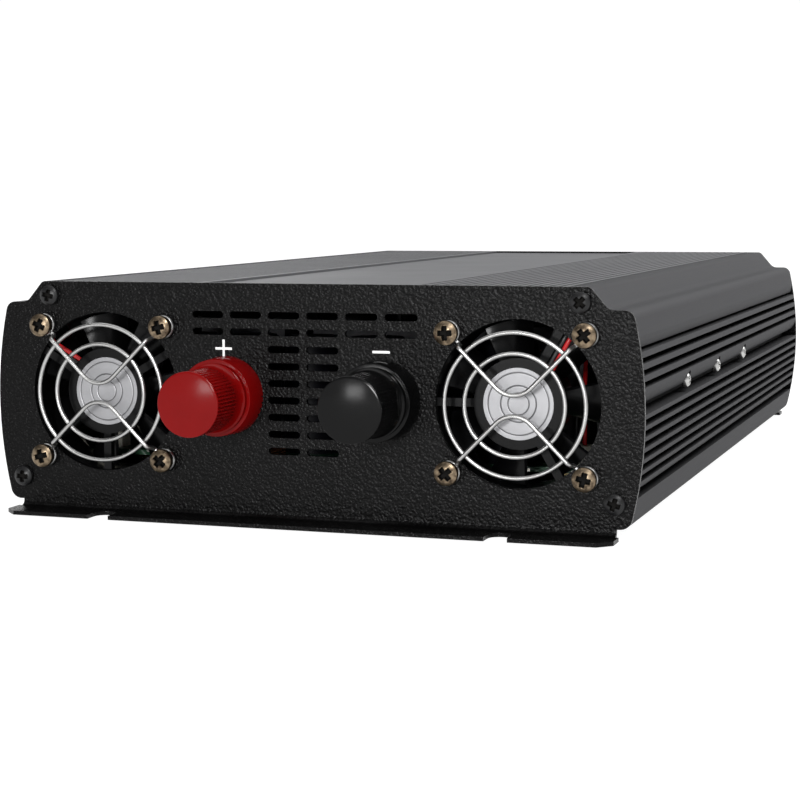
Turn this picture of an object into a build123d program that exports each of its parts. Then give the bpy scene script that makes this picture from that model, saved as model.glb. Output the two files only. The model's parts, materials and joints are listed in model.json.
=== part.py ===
from build123d import *
import os
from math import asin, cos, degrees, radians, sin, sqrt

# Power inverter in millimetres. X runs across the case, +Y from the direct-current end to the
# alternating-current end, +Z up. The origin is the centre of the four mounting notches, on the
# plane that the two mounting flanges stand on.

# ---- Case section ----
body_length = 320.0          # over the outer faces of the two end plates
half_width = 100.9           # to the crown of the bowed sides
case_height = 67.3           # underside of the case to its top
case_lift = 3.1              # underside of the case above the mounting plane
bow_radius = 125.0           # bow of the sides
bow_rise = 32.0              # crown of the bow above the underside
cove_top_inset = 15.5        # where the flat top ends, in from the crown
cove_foot_inset = 10.1       # where the shoulder begins, in from the crown
shoulder_drop = 6.4          # shoulder below the top
cove_top_radius = 2.2
cove_foot_radius = 3.2
shoulder_radius = 3.0
bottom_radius = 3.5

# ---- Side extrusions ----
fin_depth = 5.5
side_wall = 3.4
rail_width = 5.4             # flat rail between the seam and the cove
seam_gap = 0.8               # shadow gap beside the top cover
ledge_reach = 6.5            # ledge that carries the top cover
ledge_thickness = 1.6
cove_wall = 3.2
foot_reach = 8.0             # foot rail inward from the side wall
foot_height = 4.4
slot_height = 1.8            # slot in the foot rail for the bottom cover
slot_depth = 4.0
slot_lift = 1.2
boss_radius = 3.5            # screw bosses for the end plates
upper_boss_inset = 18.1
upper_boss_drop = 4.3
lower_boss_inset = 8.3
lower_boss_rise = 7.1
fin_pitch = 3.3
upper_fin = 1.65
lower_fin_pitch = 3.1
lower_fin = 1.2
upper_fins = 3
lower_fins = 6
first_groove_drop = 16.9     # top of the first groove, below the case top
first_groove = 1.0
scoop_height = 3.2           # rounded relief above the first groove
scoop_depth = 1.2
channel_scoop = 4.8          # rounded relief that the clamp screws sit in
channel_scoop_depth = 2.2
channel_groove = 2.7
foot_scoop = 2.5
foot_scoop_depth = 1.4
foot_groove = 2.1
sheet_clearance = 0.15       # sliding covers in their slots

# ---- Covers ----
cover_thickness = 2.0
cover_hook_drop = 4.95       # hooks under the side ledges
cover_hook_wall = 1.2
panel_half_width = 32.0      # smooth centre panel
panel_drop = 0.7
rib_pitch = 3.1
rib_groove = 1.1
rib_groove_depth = 0.8
bottom_thickness = 1.5

# ---- End plates ----
plate = 1.2
flange_reach = 12.0
flange_inset = 6.9           # ends of a flange, in from the crown of the sides
neck_inset = 7.9             # ends of the bend above it
flange_bend = 1.5            # inside radius of the bend
flange_corner = 4.0
notch_spacing = 123.0
notch_width = 6.8
notch_depth = 8.0
vent_length = 10.0
vent_height = 2.1
vent_pitch_x = 12.1
vent_pitch_z = 5.0
vent_columns = 6
vent_rows = 2
stack_columns = 2
stack_rows = 7
vent_top_drop = 9.4          # first row of vents below the case top

# ---- Machine screws: head radius, head height, shank radius, length ----
head_round = 0.45            # rounding of a head, as a share of its height
recess_reach = 1.15          # cross recess over both arms, as a share of the head radius
recess_width = 0.3
recess_depth = 0.6           # as a share of the head height
corner_screw = (3.05, 2.1, 1.45, 12.0)
fan_screw = (3.5, 2.5, 1.9, 23.2)
clamp_screw = (2.3, 2.4, 1.4, 15.0)
board_screw = (2.6, 1.8, 1.2, 6.0)
hole_clearance = 0.2         # screw shanks in clearance holes
pilot_clearance = 0.05       # screw shanks in tapped holes
overcut = 1.0                # cuts and blades drawn past the face that trims them

# ---- Fans ----
fan_size = 50.0
fan_wall_gap = 2.4           # fans to the side walls
fan_boss_gap = 0.5           # fans below the upper screw bosses
fan_depth = 15.0
fan_corner = 3.0
fan_hole_pitch = 40.0
fan_flange = 3.0
barrel_wall = 1.0
fan_bore_radius = 24.0
plate_bore_clearance = 0.1
hub_radius = 13.0
hub_base = 2.2
strut_width = 2.4
strut_count = 3
bearing_tube_radius = 3.2
bearing_radius = 2.0
bearing_length = 7.5
shaft_radius = 1.0
shaft_clearance = 0.03
fit_clearance = 0.02
rotor_gap = 0.8              # rotor cup behind the hub base
rotor_radius = 12.6
rotor_wall = 2.3             # cup and magnet ring
rotor_cap = 1.2
blade_count = 7
blade_tip_gap = 0.6
blade_root_sink = 0.8        # blade roots inside the cup
blade_root_inset = 1.0       # blade roots in from the ends of the cup
blade_tip_inset = 3.0
blade_thickness = 1.0
blade_camber = 1.5
blade_root_run = 7.5         # length of a blade along the turn, at the cup
blade_tip_run = 13.5
blade_rear_gap = 1.0
stator_radius = 9.6
stator_length = 5.0
stator_poles = 4
pole_shoe = 1.25             # thickness of the pole shoes
pole_gap = 3.4               # between one shoe and the next
pole_width = 2.6
stator_hub_radius = 4.8
coil_length = 2.9            # coils along their poles
coil_width = 4.8
coil_centre = 6.3            # coils from the fan axis
coil_overhang = 0.8          # coils past the laminations
label_radius = 10.25
label_thickness = 0.3
lead_angles = {"left": 150.0, "right": 60.0}     # the strut that carries each fan's leads
lead_radius = 0.65
lead_gap = 0.1               # between a lead and the strut or the lead beside it
lead_reach = 27.3            # from the fan axis to where the leads turn inward
lead_depth = 1.1             # leads behind the fan's front face
lead_bend = 5.2
lead_sweep = 8.5
lead_shift = 1.12            # leads closer to the strut's line where they pass the rear flange
lead_tail = 2.0              # leads straight on behind the fan before they drop
lead_spread = 1.8            # between the two leads of a fan behind it
washer_thickness = 1.0
washer_radius = 3.2
nut_height = 3.2
nut_flats = 7.0

# ---- Wire guards ----
wire_radius = 0.65
guard_outer_radius = 20.5
guard_inner_radius = 14.6
guard_standoff = 3.1         # rings in front of the plate
weld_sink = 0.15             # how far the spoke wires are welded into the rings
spoke_bend = 7.0             # radius of the spoke wires at the middle
foot_bend = 1.1              # radius where they step down to the plate
eyelet_radius = 2.9

# ---- Terminals ----
terminal_gap = 15.2          # terminal axes from the fans
stud_radius = 4.0
thread_clearance = 0.05
base_foot_radius = 12.05
base_rim_radius = 11.3
base_rim_round = 0.5
base_length = 8.8
base_teeth = 30
base_tooth_depth = 0.45
base_tooth_length = 1.1
plate_boss_radius = 6.5
plate_boss_clearance = 0.2
collar_radius = 8.0
collar_thickness = 2.6
collar_proud = 0.3
collar_room = 0.1            # collar in the recess of its base
clamp_washer_thickness = 1.5
seat_gap = 0.05
cap_gap = 0.2                # cap above the collar
skirt_radius = 10.3
skirt_height = 1.0
cap_radius = 9.4
cap_length = 18.7
cap_taper = 4.4              # smooth taper between the skirt and the knurl
cap_flare = 1.2              # slope of the taper where it leaves the skirt
knurl_teeth = 56
knurl_depth = 0.45
knurl_step = 0.05            # rim above the teeth, and the taper's end below their roots
cap_rim = 1.0
cap_dome = 0.5
insert_radius = 6.0
insert_length = 14.0
stud_engagement = 14.6       # stud inside the cap
insulator_radius = 11.0
insulator_thickness = 2.0
bus_thickness = 2.0
bus_width = 16.0
bus_landing = 4.5            # foot of a bus bar on the main board
terminal_nut_height = 6.5
terminal_nut_flats = 13.0
stud_tail = 1.8

# ---- Electronics ----
board_thickness = 1.6
board_lift = 15.0            # underside of the main board above the mounting plane
board_gap = 0.6              # board to side walls
board_front = 22.0           # board behind the outside of the direct-current end plate
board_rear = 32.0            # board in front of the outside of the other end plate
standoff_flats = 5.5
capacitor_radius = 9.0
capacitor_height = 36.0
capacitor_pitch = 21.0
capacitor_count = 6
capacitor_round = 1.0        # rim of every capacitor
capacitor_setback = 14.0     # row of input capacitors behind the board's front edge
transformer_pitch = 50.0
transformer_count = 3
transformer_width = 40.0
transformer_height = 38.0
transformer_core = 16.0
transformer_winding = 28.0
transformer_leg = 6.7        # outer legs and yokes of a core
transformer_window = 8.0
transformer_round = 3.0
transformer_gap = 9.0        # behind the input capacitors
bus_capacitor_radius = 15.0
bus_capacitor_height = 40.0
bus_capacitor_pitch = 56.0
bus_capacitor_gap = 4.5      # behind the fuses
inductor_radius = 22.0
inductor_bore = 12.0
inductor_height = 16.0
inductor_gap = 15.5          # behind the high-voltage capacitors
winding_thickness = 2.5
winding_sweep = 150.0
control_width = 70.0
control_height = 34.0
control_gap = 17.5           # behind the output choke
transistor_width = 10.2
transistor_height = 15.6
transistor_body = 9.4        # height of the moulded body on its tab
transistor_thickness = 4.5
transistor_tab = 1.3
clamp_bar_thickness = 3.0
clamp_bar_height = 10.0
clamp_screws = 3
clamp_screw_pitch = 55.0
first_clamp_screw = 70.0     # behind the outside of the direct-current end plate
clamp_screw_lift = 0.8       # above the lower edge of the relief they sit in
clamp_pocket_radius = 3.0
clamp_pocket_floor = 3.0     # pocket floor outside the groove floor
clamp_bar_overhang = 25.0    # bar past its end screws
transistor_offsets = (-19.5, -8.0, 8.0, 19.5)
leg_width = 0.8
leg_thickness = 0.5
leg_pitch = 2.54
fuse_count = 6
fuse_length = 19.0
fuse_height = 14.0
fuse_thickness = 5.0
fuse_pitch = 9.0
fuse_gap = 4.5               # behind the transformers
board_screw_x = 70.0
board_screw_margin = 18.0    # end board screws from the ends of the board
connector_size = (7.5, 5.8, 6.0)
connector_shift = 11.4       # connectors outside the fan axes
connector_setback = 7.0      # behind the board's front edge
pin_pitch = 2.5

# ---- Alternating-current end ----
outlet_count = 3
outlet_height = 30.0
outlet_width = 33.0
outlet_face = 28.0
outlet_bezel = 2.5
outlet_body = 24.0
outlet_body_inset = 2.5
outlet_corner = 5.0
blade_spacing = 12.7
live_slot = (2.2, 6.6)
neutral_slot = (2.2, 8.2)
earth_hole_radius = 2.6
earth_drop = 11.9            # earth hole below the blade slots
slot_rise = 4.5              # blade slots above the middle of an outlet
contact_depth = 12.0
panel_fit = 0.2              # snap-in fittings in their cut-outs
switch_height = 36.0
switch_bezel = (15.0, 21.0)
switch_body = (13.0, 19.0)
switch_bezel_thickness = 1.6
switch_depth = 16.0
rocker_width = 9.6
rocker_radius = 7.9          # ends of the rocker about its pivot
rocker_proud = 3.4
rocker_gap = 0.4
rocker_tilt = 11.0
rocker_dip = 1.2             # valley in the middle of the rocker
rocker_tail = 3.0            # rocker behind its pivot
rocker_pivot_depth = 1.0     # pivot behind the outside of the end plate
trunnion_radius = 1.2
trunnion_length = 1.1
rear_vent_columns = 12
usb_height = 43.0
usb_opening = (12.5, 5.1)
usb_body = (14.6, 7.0)
usb_tongue = (10.8, 1.8)
usb_tongue_rise = 1.0
usb_depth = 14.0
usb_back = 1.0               # wall behind the opening
lamp_radius = 1.5
lamp_round = 0.9
lamp_pitch = 7.0
lamp_count = 3
lamp_height = 28.0
lamp_length = 7.0
ground_stud_radius = 2.5
ground_stud_length = 22.6
ground_stud_free = 7.0       # thread left for a cable lug
ground_relief = 0.6          # undercut between the free thread and the nut
ground_relief_radius = 2.1
ground_nut_height = 4.0
ground_nut_flats = 8.0
ground_height = 24.0

# ---- Derived places ----
front_y = -body_length / 2
rear_y = body_length / 2
inner_front_y = front_y + plate
inner_rear_y = rear_y - plate
extrusion_length = inner_rear_y - inner_front_y
underside_z = case_lift
top_z = case_lift + case_height
shoulder_z = top_z - shoulder_drop
bow_z = underside_z + bow_rise
cove_top_x = half_width - cove_top_inset
cove_foot_x = half_width - cove_foot_inset
seam_x = cove_top_x - rail_width
groove_floor_x = half_width - fin_depth
wall_x = groove_floor_x - side_wall
ledge_top_z = top_z - cover_thickness
ledge_z = ledge_top_z - ledge_thickness
ledge_x = seam_x - ledge_reach
cover_half_width = seam_x - seam_gap
foot_x = wall_x - foot_reach
foot_top_z = underside_z + foot_height
slot_z = underside_z + slot_lift
slot_x = foot_x + slot_depth
upper_boss = (half_width - upper_boss_inset, top_z - upper_boss_drop)
lower_boss = (half_width - lower_boss_inset, underside_z + lower_boss_rise)
bottom_cover_z = slot_z + (slot_height - bottom_thickness) / 2
bottom_cover_top = bottom_cover_z + bottom_thickness
groove_z = top_z - first_groove_drop
channel_z = groove_z - first_groove - upper_fins * fin_pitch
clamp_z = channel_z - channel_scoop + clamp_screw_lift
clamp_ys = [front_y + first_clamp_screw + i * clamp_screw_pitch for i in range(clamp_screws)]
pocket_x = groove_floor_x + clamp_pocket_floor
flange_half_width = half_width - flange_inset
neck_half_width = half_width - neck_inset
board_top = board_lift + board_thickness
board_front_y = front_y + board_front
board_rear_y = rear_y - board_rear
board_half_width = wall_x - board_gap
fan_x = wall_x - fan_wall_gap - fan_size / 2
fan_height = upper_boss[1] - boss_radius - fan_boss_gap - fan_size / 2
fan_xs = {"left": -fan_x, "right": fan_x}
terminal_x = fan_x - fan_size / 2 - terminal_gap
terminal_xs = {"positive": -terminal_x, "negative": terminal_x}
connector_x = fan_x + connector_shift
barrel_radius = fan_bore_radius + barrel_wall
lead_pitch = 2 * lead_radius + lead_gap
rotor_open = hub_base + rotor_gap
rotor_end = fan_depth - blade_rear_gap
spoke_standoff = guard_standoff + 2 * wire_radius - weld_sink
collar_face = base_length + collar_proud
washer_face = collar_face + seat_gap
washer_top = washer_face + clamp_washer_thickness
cap_foot = collar_face + cap_gap
cap_front = cap_foot + cap_length
knurl_start = cap_foot + cap_taper
inner_stack = plate + insulator_thickness + bus_thickness
capacitor_y = board_front_y + capacitor_setback
transformer_y = capacitor_y + capacitor_radius + transformer_gap + transformer_winding / 2
fuse_y = transformer_y + transformer_winding / 2 + fuse_gap + fuse_length / 2
bus_capacitor_y = fuse_y + fuse_length / 2 + bus_capacitor_gap + bus_capacitor_radius
inductor_reach = inductor_radius + winding_thickness
inductor_y = bus_capacitor_y + bus_capacitor_radius + inductor_gap + inductor_reach
control_y = inductor_y + inductor_reach + control_gap
ground_nut_radius = ground_nut_flats / sqrt(3)
# Ground stud, outlets, charging port and switch in a row, with equal gaps from wall to wall.
fittings = 2 * ground_nut_radius + outlet_count * outlet_width + usb_body[0] + switch_bezel[0]
fitting_count = outlet_count + 3
fitting_gap = (2 * wall_x - fittings) / (fitting_count + 1)
ground_x = fitting_gap + ground_nut_radius - wall_x
first_outlet_x = ground_x + ground_nut_radius + fitting_gap + outlet_width / 2
outlet_pitch = outlet_width + fitting_gap
switch_x = wall_x - fitting_gap - switch_bezel[0] / 2
usb_x = switch_x - switch_bezel[0] / 2 - fitting_gap - usb_body[0] / 2


def bow_x(z):
    """Half-width of the bowed side at a height."""
    return half_width - bow_radius + sqrt(bow_radius ** 2 - (z - bow_z) ** 2)


def end_plane(end, out=0.0):
    """Plane on an end of the case: local x across, local y up, normal outward."""
    if end == "front":
        return Plane(origin=(0, front_y - out, 0), x_dir=(1, 0, 0), z_dir=(0, -1, 0))
    return Plane(origin=(0, rear_y + out, 0), x_dir=(-1, 0, 0), z_dir=(0, 1, 0))


def section_start():
    """Plane at the rear end of the extrusions, facing the direct-current end."""
    return Plane(origin=(0, inner_rear_y, 0), x_dir=(1, 0, 0), z_dir=(0, -1, 0))


def front_plane(x, z, out=0.0):
    """Plane on the direct-current end, centred on a point of it."""
    return Plane(origin=(x, front_y - out, z), x_dir=(1, 0, 0), z_dir=(0, -1, 0))


def rear_plane(x, z, out=0.0):
    """Plane on the alternating-current end; x is measured as seen from outside."""
    return Plane(origin=(-x, rear_y + out, z), x_dir=(-1, 0, 0), z_dir=(0, 1, 0))


def fan_plane(side, depth=0.0):
    """Plane on a fan's axis, at a depth behind the fan's front face."""
    return front_plane(fan_xs[side], fan_height, -plate - depth)


def axis_plane(x, z):
    """Plane through an axis that runs along Y: local x is the radius, local y points inward."""
    return Plane(origin=(x, front_y, z), x_dir=(1, 0, 0), z_dir=(0, 0, 1))


def axis_line(x, z):
    return Axis((x, front_y, z), (0, 1, 0))


def save(piece, name):
    piece.part.label = name
    export_step(piece.part, f"parts/{name}.step")


def pan_screw(size):
    """Cross-recessed pan-head screw, head up, its seat on the XY plane."""
    head_radius, head_height, shank_radius, length = size
    with BuildPart() as screw:
        with BuildSketch():
            Circle(head_radius)
        extrude(amount=head_height)
        fillet(screw.edges().group_by(Axis.Z)[-1], head_height * head_round)
        with BuildSketch(Plane.XY.offset(head_height)):
            Rectangle(head_radius * recess_reach, head_radius * recess_width)
            Rectangle(head_radius * recess_width, head_radius * recess_reach)
        extrude(amount=-head_height * recess_depth, mode=Mode.SUBTRACT)
        with BuildSketch():
            Circle(shank_radius)
        extrude(amount=-length)
    return screw.part


def placed(solid, planes, name):
    """A group of equal solids, one on each plane, in one node."""
    with BuildPart() as group:
        for plane in planes:
            add(solid.moved(plane.location))
    save(group, name)


# ---- Case ----

def outer_half(inner_x):
    """Right-hand outline of the case from inner_x outward."""
    shoulder_x = bow_x(shoulder_z)
    corner_x = bow_x(underside_z)
    rounds = (
        (cove_top_x, top_z, cove_top_radius),
        (cove_foot_x, shoulder_z, cove_foot_radius),
        (shoulder_x, shoulder_z, shoulder_radius),
        (corner_x, underside_z, bottom_radius),
    )
    with BuildSketch() as half:
        with BuildLine():
            Polyline((inner_x, top_z), (cove_top_x, top_z), (cove_foot_x, shoulder_z),
                     (shoulder_x, shoulder_z))
            ThreePointArc((shoulder_x, shoulder_z), (half_width, bow_z), (corner_x, underside_z))
            Polyline((corner_x, underside_z), (inner_x, underside_z), (inner_x, top_z))
        make_face()
        for x, z, radius in rounds:
            fillet(vertices().sort_by_distance((x, z))[0], radius)
    return half.sketch


def groove(top, bottom):
    """Slot between two fins, drawn in the sketch at hand."""
    width = half_width + overcut - groove_floor_x
    with Locations((groove_floor_x, bottom)):
        Rectangle(width, top - bottom, align=(Align.MIN, Align.MIN))


def scoop(top, bottom, depth):
    """Rounded relief that leaves the bow at its top and turns inward to its bottom."""
    start = (bow_x(top), top)
    end = (bow_x(bottom) - depth, bottom)
    with BuildSketch() as relief:
        with BuildLine():
            TangentArc(start, end, tangent=(0, -1))
            Polyline(end, (half_width + overcut, bottom), (half_width + overcut, top), start)
        make_face()
    return relief.sketch


def side_grooves():
    """Scoops and grooves of one side, from the shoulder down to the foot rail."""
    with BuildSketch() as cuts:
        z = groove_z
        add(scoop(z + scoop_height, z, scoop_depth))
        groove(z, z - first_groove)
        z -= first_groove
        for i in range(upper_fins):
            groove(z - upper_fin, z - fin_pitch)
            z -= fin_pitch
        add(scoop(z, z - channel_scoop, channel_scoop_depth))
        z -= channel_scoop
        groove(z, z - channel_groove)
        z -= channel_groove
        for i in range(lower_fins):
            groove(z - lower_fin, z - lower_fin_pitch)
            z -= lower_fin_pitch
        add(scoop(z, z - foot_scoop, foot_scoop_depth))
        z -= foot_scoop
        groove(z, z - foot_groove)
    return cuts.sketch


def side_extrusion():
    """Finned right-hand side of the case, one length of extrusion."""
    with BuildPart() as extrusion:
        with BuildSketch(section_start()):
            add(outer_half(seam_x))
            cove_in_x = cove_top_x - cove_wall / 2
            with BuildLine():
                Polyline(
                    (foot_x, foot_top_z),
                    (wall_x, foot_top_z),
                    (wall_x, shoulder_z - cove_wall / 2),
                    (cove_foot_x - cove_wall / 2, shoulder_z - cove_wall / 2),
                    (cove_in_x, ledge_z),
                    (seam_x, ledge_z),
                    (seam_x, foot_top_z),
                    close=True,
                )
            make_face(mode=Mode.SUBTRACT)
            with BuildLine():
                Polyline((seam_x, underside_z), (foot_x, underside_z), (foot_x, foot_top_z),
                         (seam_x, foot_top_z), close=True)
            make_face(mode=Mode.SUBTRACT)
            with BuildLine():
                Polyline((seam_x, ledge_z), (ledge_x, ledge_z), (ledge_x, ledge_top_z),
                         (seam_x, ledge_top_z), close=True)
            make_face()
            with BuildLine():
                Polyline((foot_x, slot_z), (slot_x, slot_z), (slot_x, slot_z + slot_height),
                         (foot_x, slot_z + slot_height), close=True)
            make_face(mode=Mode.SUBTRACT)
            with Locations(upper_boss, lower_boss):
                Circle(boss_radius)
            with Locations(upper_boss, lower_boss):
                Circle(corner_screw[2] + pilot_clearance, mode=Mode.SUBTRACT)
            add(side_grooves(), mode=Mode.SUBTRACT)
        extrude(amount=extrusion_length)
        pocket_plane = Plane(origin=(pocket_x, 0, clamp_z), x_dir=(0, 1, 0), z_dir=(1, 0, 0))
        with BuildSketch(pocket_plane):
            with Locations(*[(y, 0) for y in clamp_ys]):
                Circle(clamp_pocket_radius)
        extrude(amount=fin_depth, mode=Mode.SUBTRACT)
        with BuildSketch(pocket_plane):
            with Locations(*[(y, 0) for y in clamp_ys]):
                Circle(clamp_screw[2] + hole_clearance)
        extrude(amount=wall_x - pocket_x - overcut, mode=Mode.SUBTRACT)
    return extrusion


def cover_ribs():
    """Grooves of the ribbed strips, to the right of the centre panel, inside a section sketch."""
    count = int((cover_half_width - panel_half_width - rib_groove) // rib_pitch)
    for i in range(count):
        x = cover_half_width - rib_pitch * (i + 1) + rib_groove / 2
        with Locations((x, top_z - rib_groove_depth / 2)):
            Rectangle(rib_groove, rib_groove_depth, mode=Mode.SUBTRACT)


def top_cover():
    """Ribbed top cover with hooks that slide under the ledges of the sides."""
    hook_x = ledge_x - sheet_clearance * 2
    hook_z = top_z - cover_hook_drop
    foot_top = ledge_z - sheet_clearance
    with BuildPart() as cover:
        with BuildSketch(section_start()):
            with BuildLine():
                Polyline(
                    (0, top_z - panel_drop),
                    (panel_half_width, top_z - panel_drop),
                    (panel_half_width, top_z),
                    (cover_half_width, top_z),
                    (cover_half_width, ledge_top_z),
                    (hook_x, ledge_top_z),
                    (hook_x, foot_top),
                    (hook_x + 2 * cover_hook_wall, foot_top),
                    (hook_x + 2 * cover_hook_wall, hook_z),
                    (hook_x - cover_hook_wall, hook_z),
                    (hook_x - cover_hook_wall, ledge_top_z),
                    (0, ledge_top_z),
                    close=True,
                )
            make_face()
            cover_ribs()
            mirror(about=Plane.YZ)
        extrude(amount=extrusion_length)
    return cover


def bottom_cover():
    """Flat bottom cover that slides into the slots of the foot rails."""
    half = slot_x - 2 * sheet_clearance
    with BuildPart() as cover:
        with BuildSketch(Plane.XY.offset(bottom_cover_z)):
            Rectangle(2 * half, extrusion_length)
        extrude(amount=bottom_thickness)
    return cover


def plate_blank(end):
    """End plate and its mounting flange, bent from one sheet."""
    outside = end_plane(end)
    up_and_out = Plane(origin=outside.origin, x_dir=outside.z_dir,
                       z_dir=outside.z_dir.cross(Vector(0, 0, 1)))
    level = Plane(origin=outside.origin, x_dir=outside.x_dir, z_dir=(0, 0, 1))
    bend_z = plate + flange_bend
    notch_y = -flange_reach + notch_depth - notch_width / 2
    with BuildPart() as blank:
        with BuildSketch(outside.offset(-plate)):
            add(outer_half(0))
            mirror(about=Plane.YZ)
            with Locations((0, bend_z)):
                Rectangle(2 * neck_half_width, underside_z - bend_z + plate, align=(Align.CENTER, Align.MIN))
            with Locations(*corner_places()):
                Circle(corner_screw[2] + hole_clearance, mode=Mode.SUBTRACT)
        extrude(amount=plate)
        with BuildSketch(up_and_out):
            with BuildLine():
                CenterArc((flange_bend, bend_z), flange_bend, 180, 90)
                Line((flange_bend, plate), (flange_bend, 0))
                CenterArc((flange_bend, bend_z), bend_z, 180, 90)
                Line((-plate, bend_z), (0, bend_z))
            make_face()
        extrude(amount=neck_half_width, both=True)
        with BuildSketch(level):
            with Locations((0, -flange_bend)):
                Rectangle(2 * flange_half_width, flange_reach - flange_bend, align=(Align.CENTER, Align.MAX))
            chamfer(vertices().group_by(Axis.Y)[0], flange_corner)
            with Locations((-notch_spacing / 2, notch_y), (notch_spacing / 2, notch_y)):
                Circle(notch_width / 2, mode=Mode.SUBTRACT)
                Rectangle(notch_width, notch_depth, align=(Align.CENTER, Align.MAX), mode=Mode.SUBTRACT)
        extrude(amount=plate)
    return blank.part


def corner_places():
    """Corner screws of an end plate, on the plate's own plane."""
    return [(side * x, z) for side in (-1, 1) for x, z in (upper_boss, lower_boss)]


def vents(x, columns, first_z, rows):
    """Block of vent slots, its rows counted downward, inside a plate's sketch."""
    for row in range(rows):
        for column in range(columns):
            place = (x + (column - (columns - 1) / 2) * vent_pitch_x, first_z - row * vent_pitch_z)
            with Locations(place):
                SlotOverall(vent_length, vent_height)


def front_plate():
    """Direct-current end plate with its fan, terminal and vent openings."""
    first_z = top_z - vent_top_drop
    with BuildPart() as end:
        add(plate_blank("front"))
        with BuildSketch(end_plane("front", -plate)):
            for x in fan_xs.values():
                with Locations((x, fan_height)):
                    Circle(fan_bore_radius + plate_bore_clearance)
                    with GridLocations(fan_hole_pitch, fan_hole_pitch, 2, 2):
                        Circle(fan_screw[2] + hole_clearance)
            with Locations(*[(x, fan_height) for x in terminal_xs.values()]):
                Circle(plate_boss_radius + plate_boss_clearance)
            vents(0, vent_columns, first_z, vent_rows)
            vents(0, stack_columns, first_z - vent_rows * vent_pitch_z, stack_rows)
        extrude(amount=plate, mode=Mode.SUBTRACT)
    return end


def rear_plate():
    """Alternating-current end plate with its outlet, switch and vent openings."""
    with BuildPart() as end:
        add(plate_blank("rear"))
        with BuildSketch(end_plane("rear", -plate)):
            for x in outlet_xs():
                with Locations((x, outlet_height)):
                    RectangleRounded(outlet_width - 2 * outlet_body_inset + 2 * panel_fit,
                                     outlet_face - 2 * outlet_body_inset + 2 * panel_fit, outlet_corner)
            with Locations((switch_x, switch_height)):
                Rectangle(switch_body[0] + 2 * panel_fit, switch_body[1] + 2 * panel_fit)
            with Locations((usb_x, usb_height)):
                Rectangle(usb_body[0] + 2 * panel_fit, usb_body[1] + 2 * panel_fit)
            with Locations(*[(x, lamp_height) for x in lamp_xs()]):
                Circle(lamp_radius + panel_fit)
            with Locations((ground_x, ground_height)):
                Circle(ground_stud_radius + panel_fit)
            vents(0, rear_vent_columns, top_z - vent_top_drop, vent_rows)
        extrude(amount=plate, mode=Mode.SUBTRACT)
    return end


# ---- Fans ----

def fan_frame(side):
    """Square frame with a round duct, a motor base on three struts and a bearing tube."""
    tube_end = hub_base + bearing_length + fit_clearance
    notch_width = lead_pitch + 2 * (lead_radius + lead_gap)
    strut_edge = -strut_width / 2
    notches = (
        (0, -fan_flange, fan_bore_radius - barrel_wall, strut_edge, notch_width),
        (fan_depth, fan_flange, barrel_radius + lead_gap, strut_edge + lead_shift,
         notch_width + lead_radius / 2),
    )
    with BuildPart() as frame:
        for depth, amount in ((0, -fan_flange), (fan_depth, fan_flange)):
            with BuildSketch(fan_plane(side, depth)):
                RectangleRounded(fan_size, fan_size, fan_corner)
                with GridLocations(fan_hole_pitch, fan_hole_pitch, 2, 2):
                    Circle(fan_screw[2] + hole_clearance, mode=Mode.SUBTRACT)
            extrude(amount=amount)
        with BuildSketch(fan_plane(side)):
            Circle(barrel_radius)
        extrude(amount=-fan_depth)
        with BuildSketch(fan_plane(side)):
            Circle(fan_bore_radius)
        extrude(amount=-fan_depth, mode=Mode.SUBTRACT)
        with BuildSketch(fan_plane(side)):
            Circle(hub_radius)
            with PolarLocations(barrel_radius / 2, strut_count, start_angle=lead_angles[side]):
                Rectangle(barrel_radius, strut_width)
        extrude(amount=-hub_base)
        with BuildSketch(fan_plane(side)):
            Circle(label_radius + fit_clearance)
        extrude(amount=-label_thickness, mode=Mode.SUBTRACT)
        with BuildSketch(fan_plane(side, hub_base)):
            Circle(bearing_tube_radius)
        extrude(amount=-bearing_length)
        with BuildSketch(fan_plane(side, tube_end)):
            Circle(bearing_radius + fit_clearance)
        extrude(amount=bearing_length, mode=Mode.SUBTRACT)
        for depth, amount, start, edge, width in notches:
            with BuildSketch(fan_plane(side, depth)):
                with Locations(Location((0, 0, 0), (0, 0, 1), lead_angles[side])):
                    with Locations((start, edge)):
                        Rectangle(fan_size / 2, width, align=(Align.MIN, Align.MAX))
            extrude(amount=amount, mode=Mode.SUBTRACT)
    save(frame, f"{side}_fan_frame")


def blade_plane(side, angle, radius):
    """Plane square to a blade: local x along the turn, local y along the fan's axis."""
    hub = fan_plane(side, (rotor_open + rotor_end) / 2)
    out = hub.x_dir * cos(radians(angle)) + hub.y_dir * sin(radians(angle))
    across = hub.y_dir * cos(radians(angle)) - hub.x_dir * sin(radians(angle))
    return Plane(origin=hub.origin + out * radius, x_dir=across, z_dir=out)


def blade_section(run, rise):
    """Cambered blade section of even thickness."""
    chord = Vector(run, rise)
    normal = Vector(-rise, run).normalized()
    half = normal * (blade_thickness / 2)
    crown = normal * blade_camber
    start = chord * -0.5
    end = chord * 0.5
    with BuildSketch() as section:
        with BuildLine():
            ThreePointArc(start + half, crown + half, end + half)
            Line(end + half, end - half)
            ThreePointArc(end - half, crown - half, start - half)
            Line(start - half, start + half)
        make_face()
    return section.sketch


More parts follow.
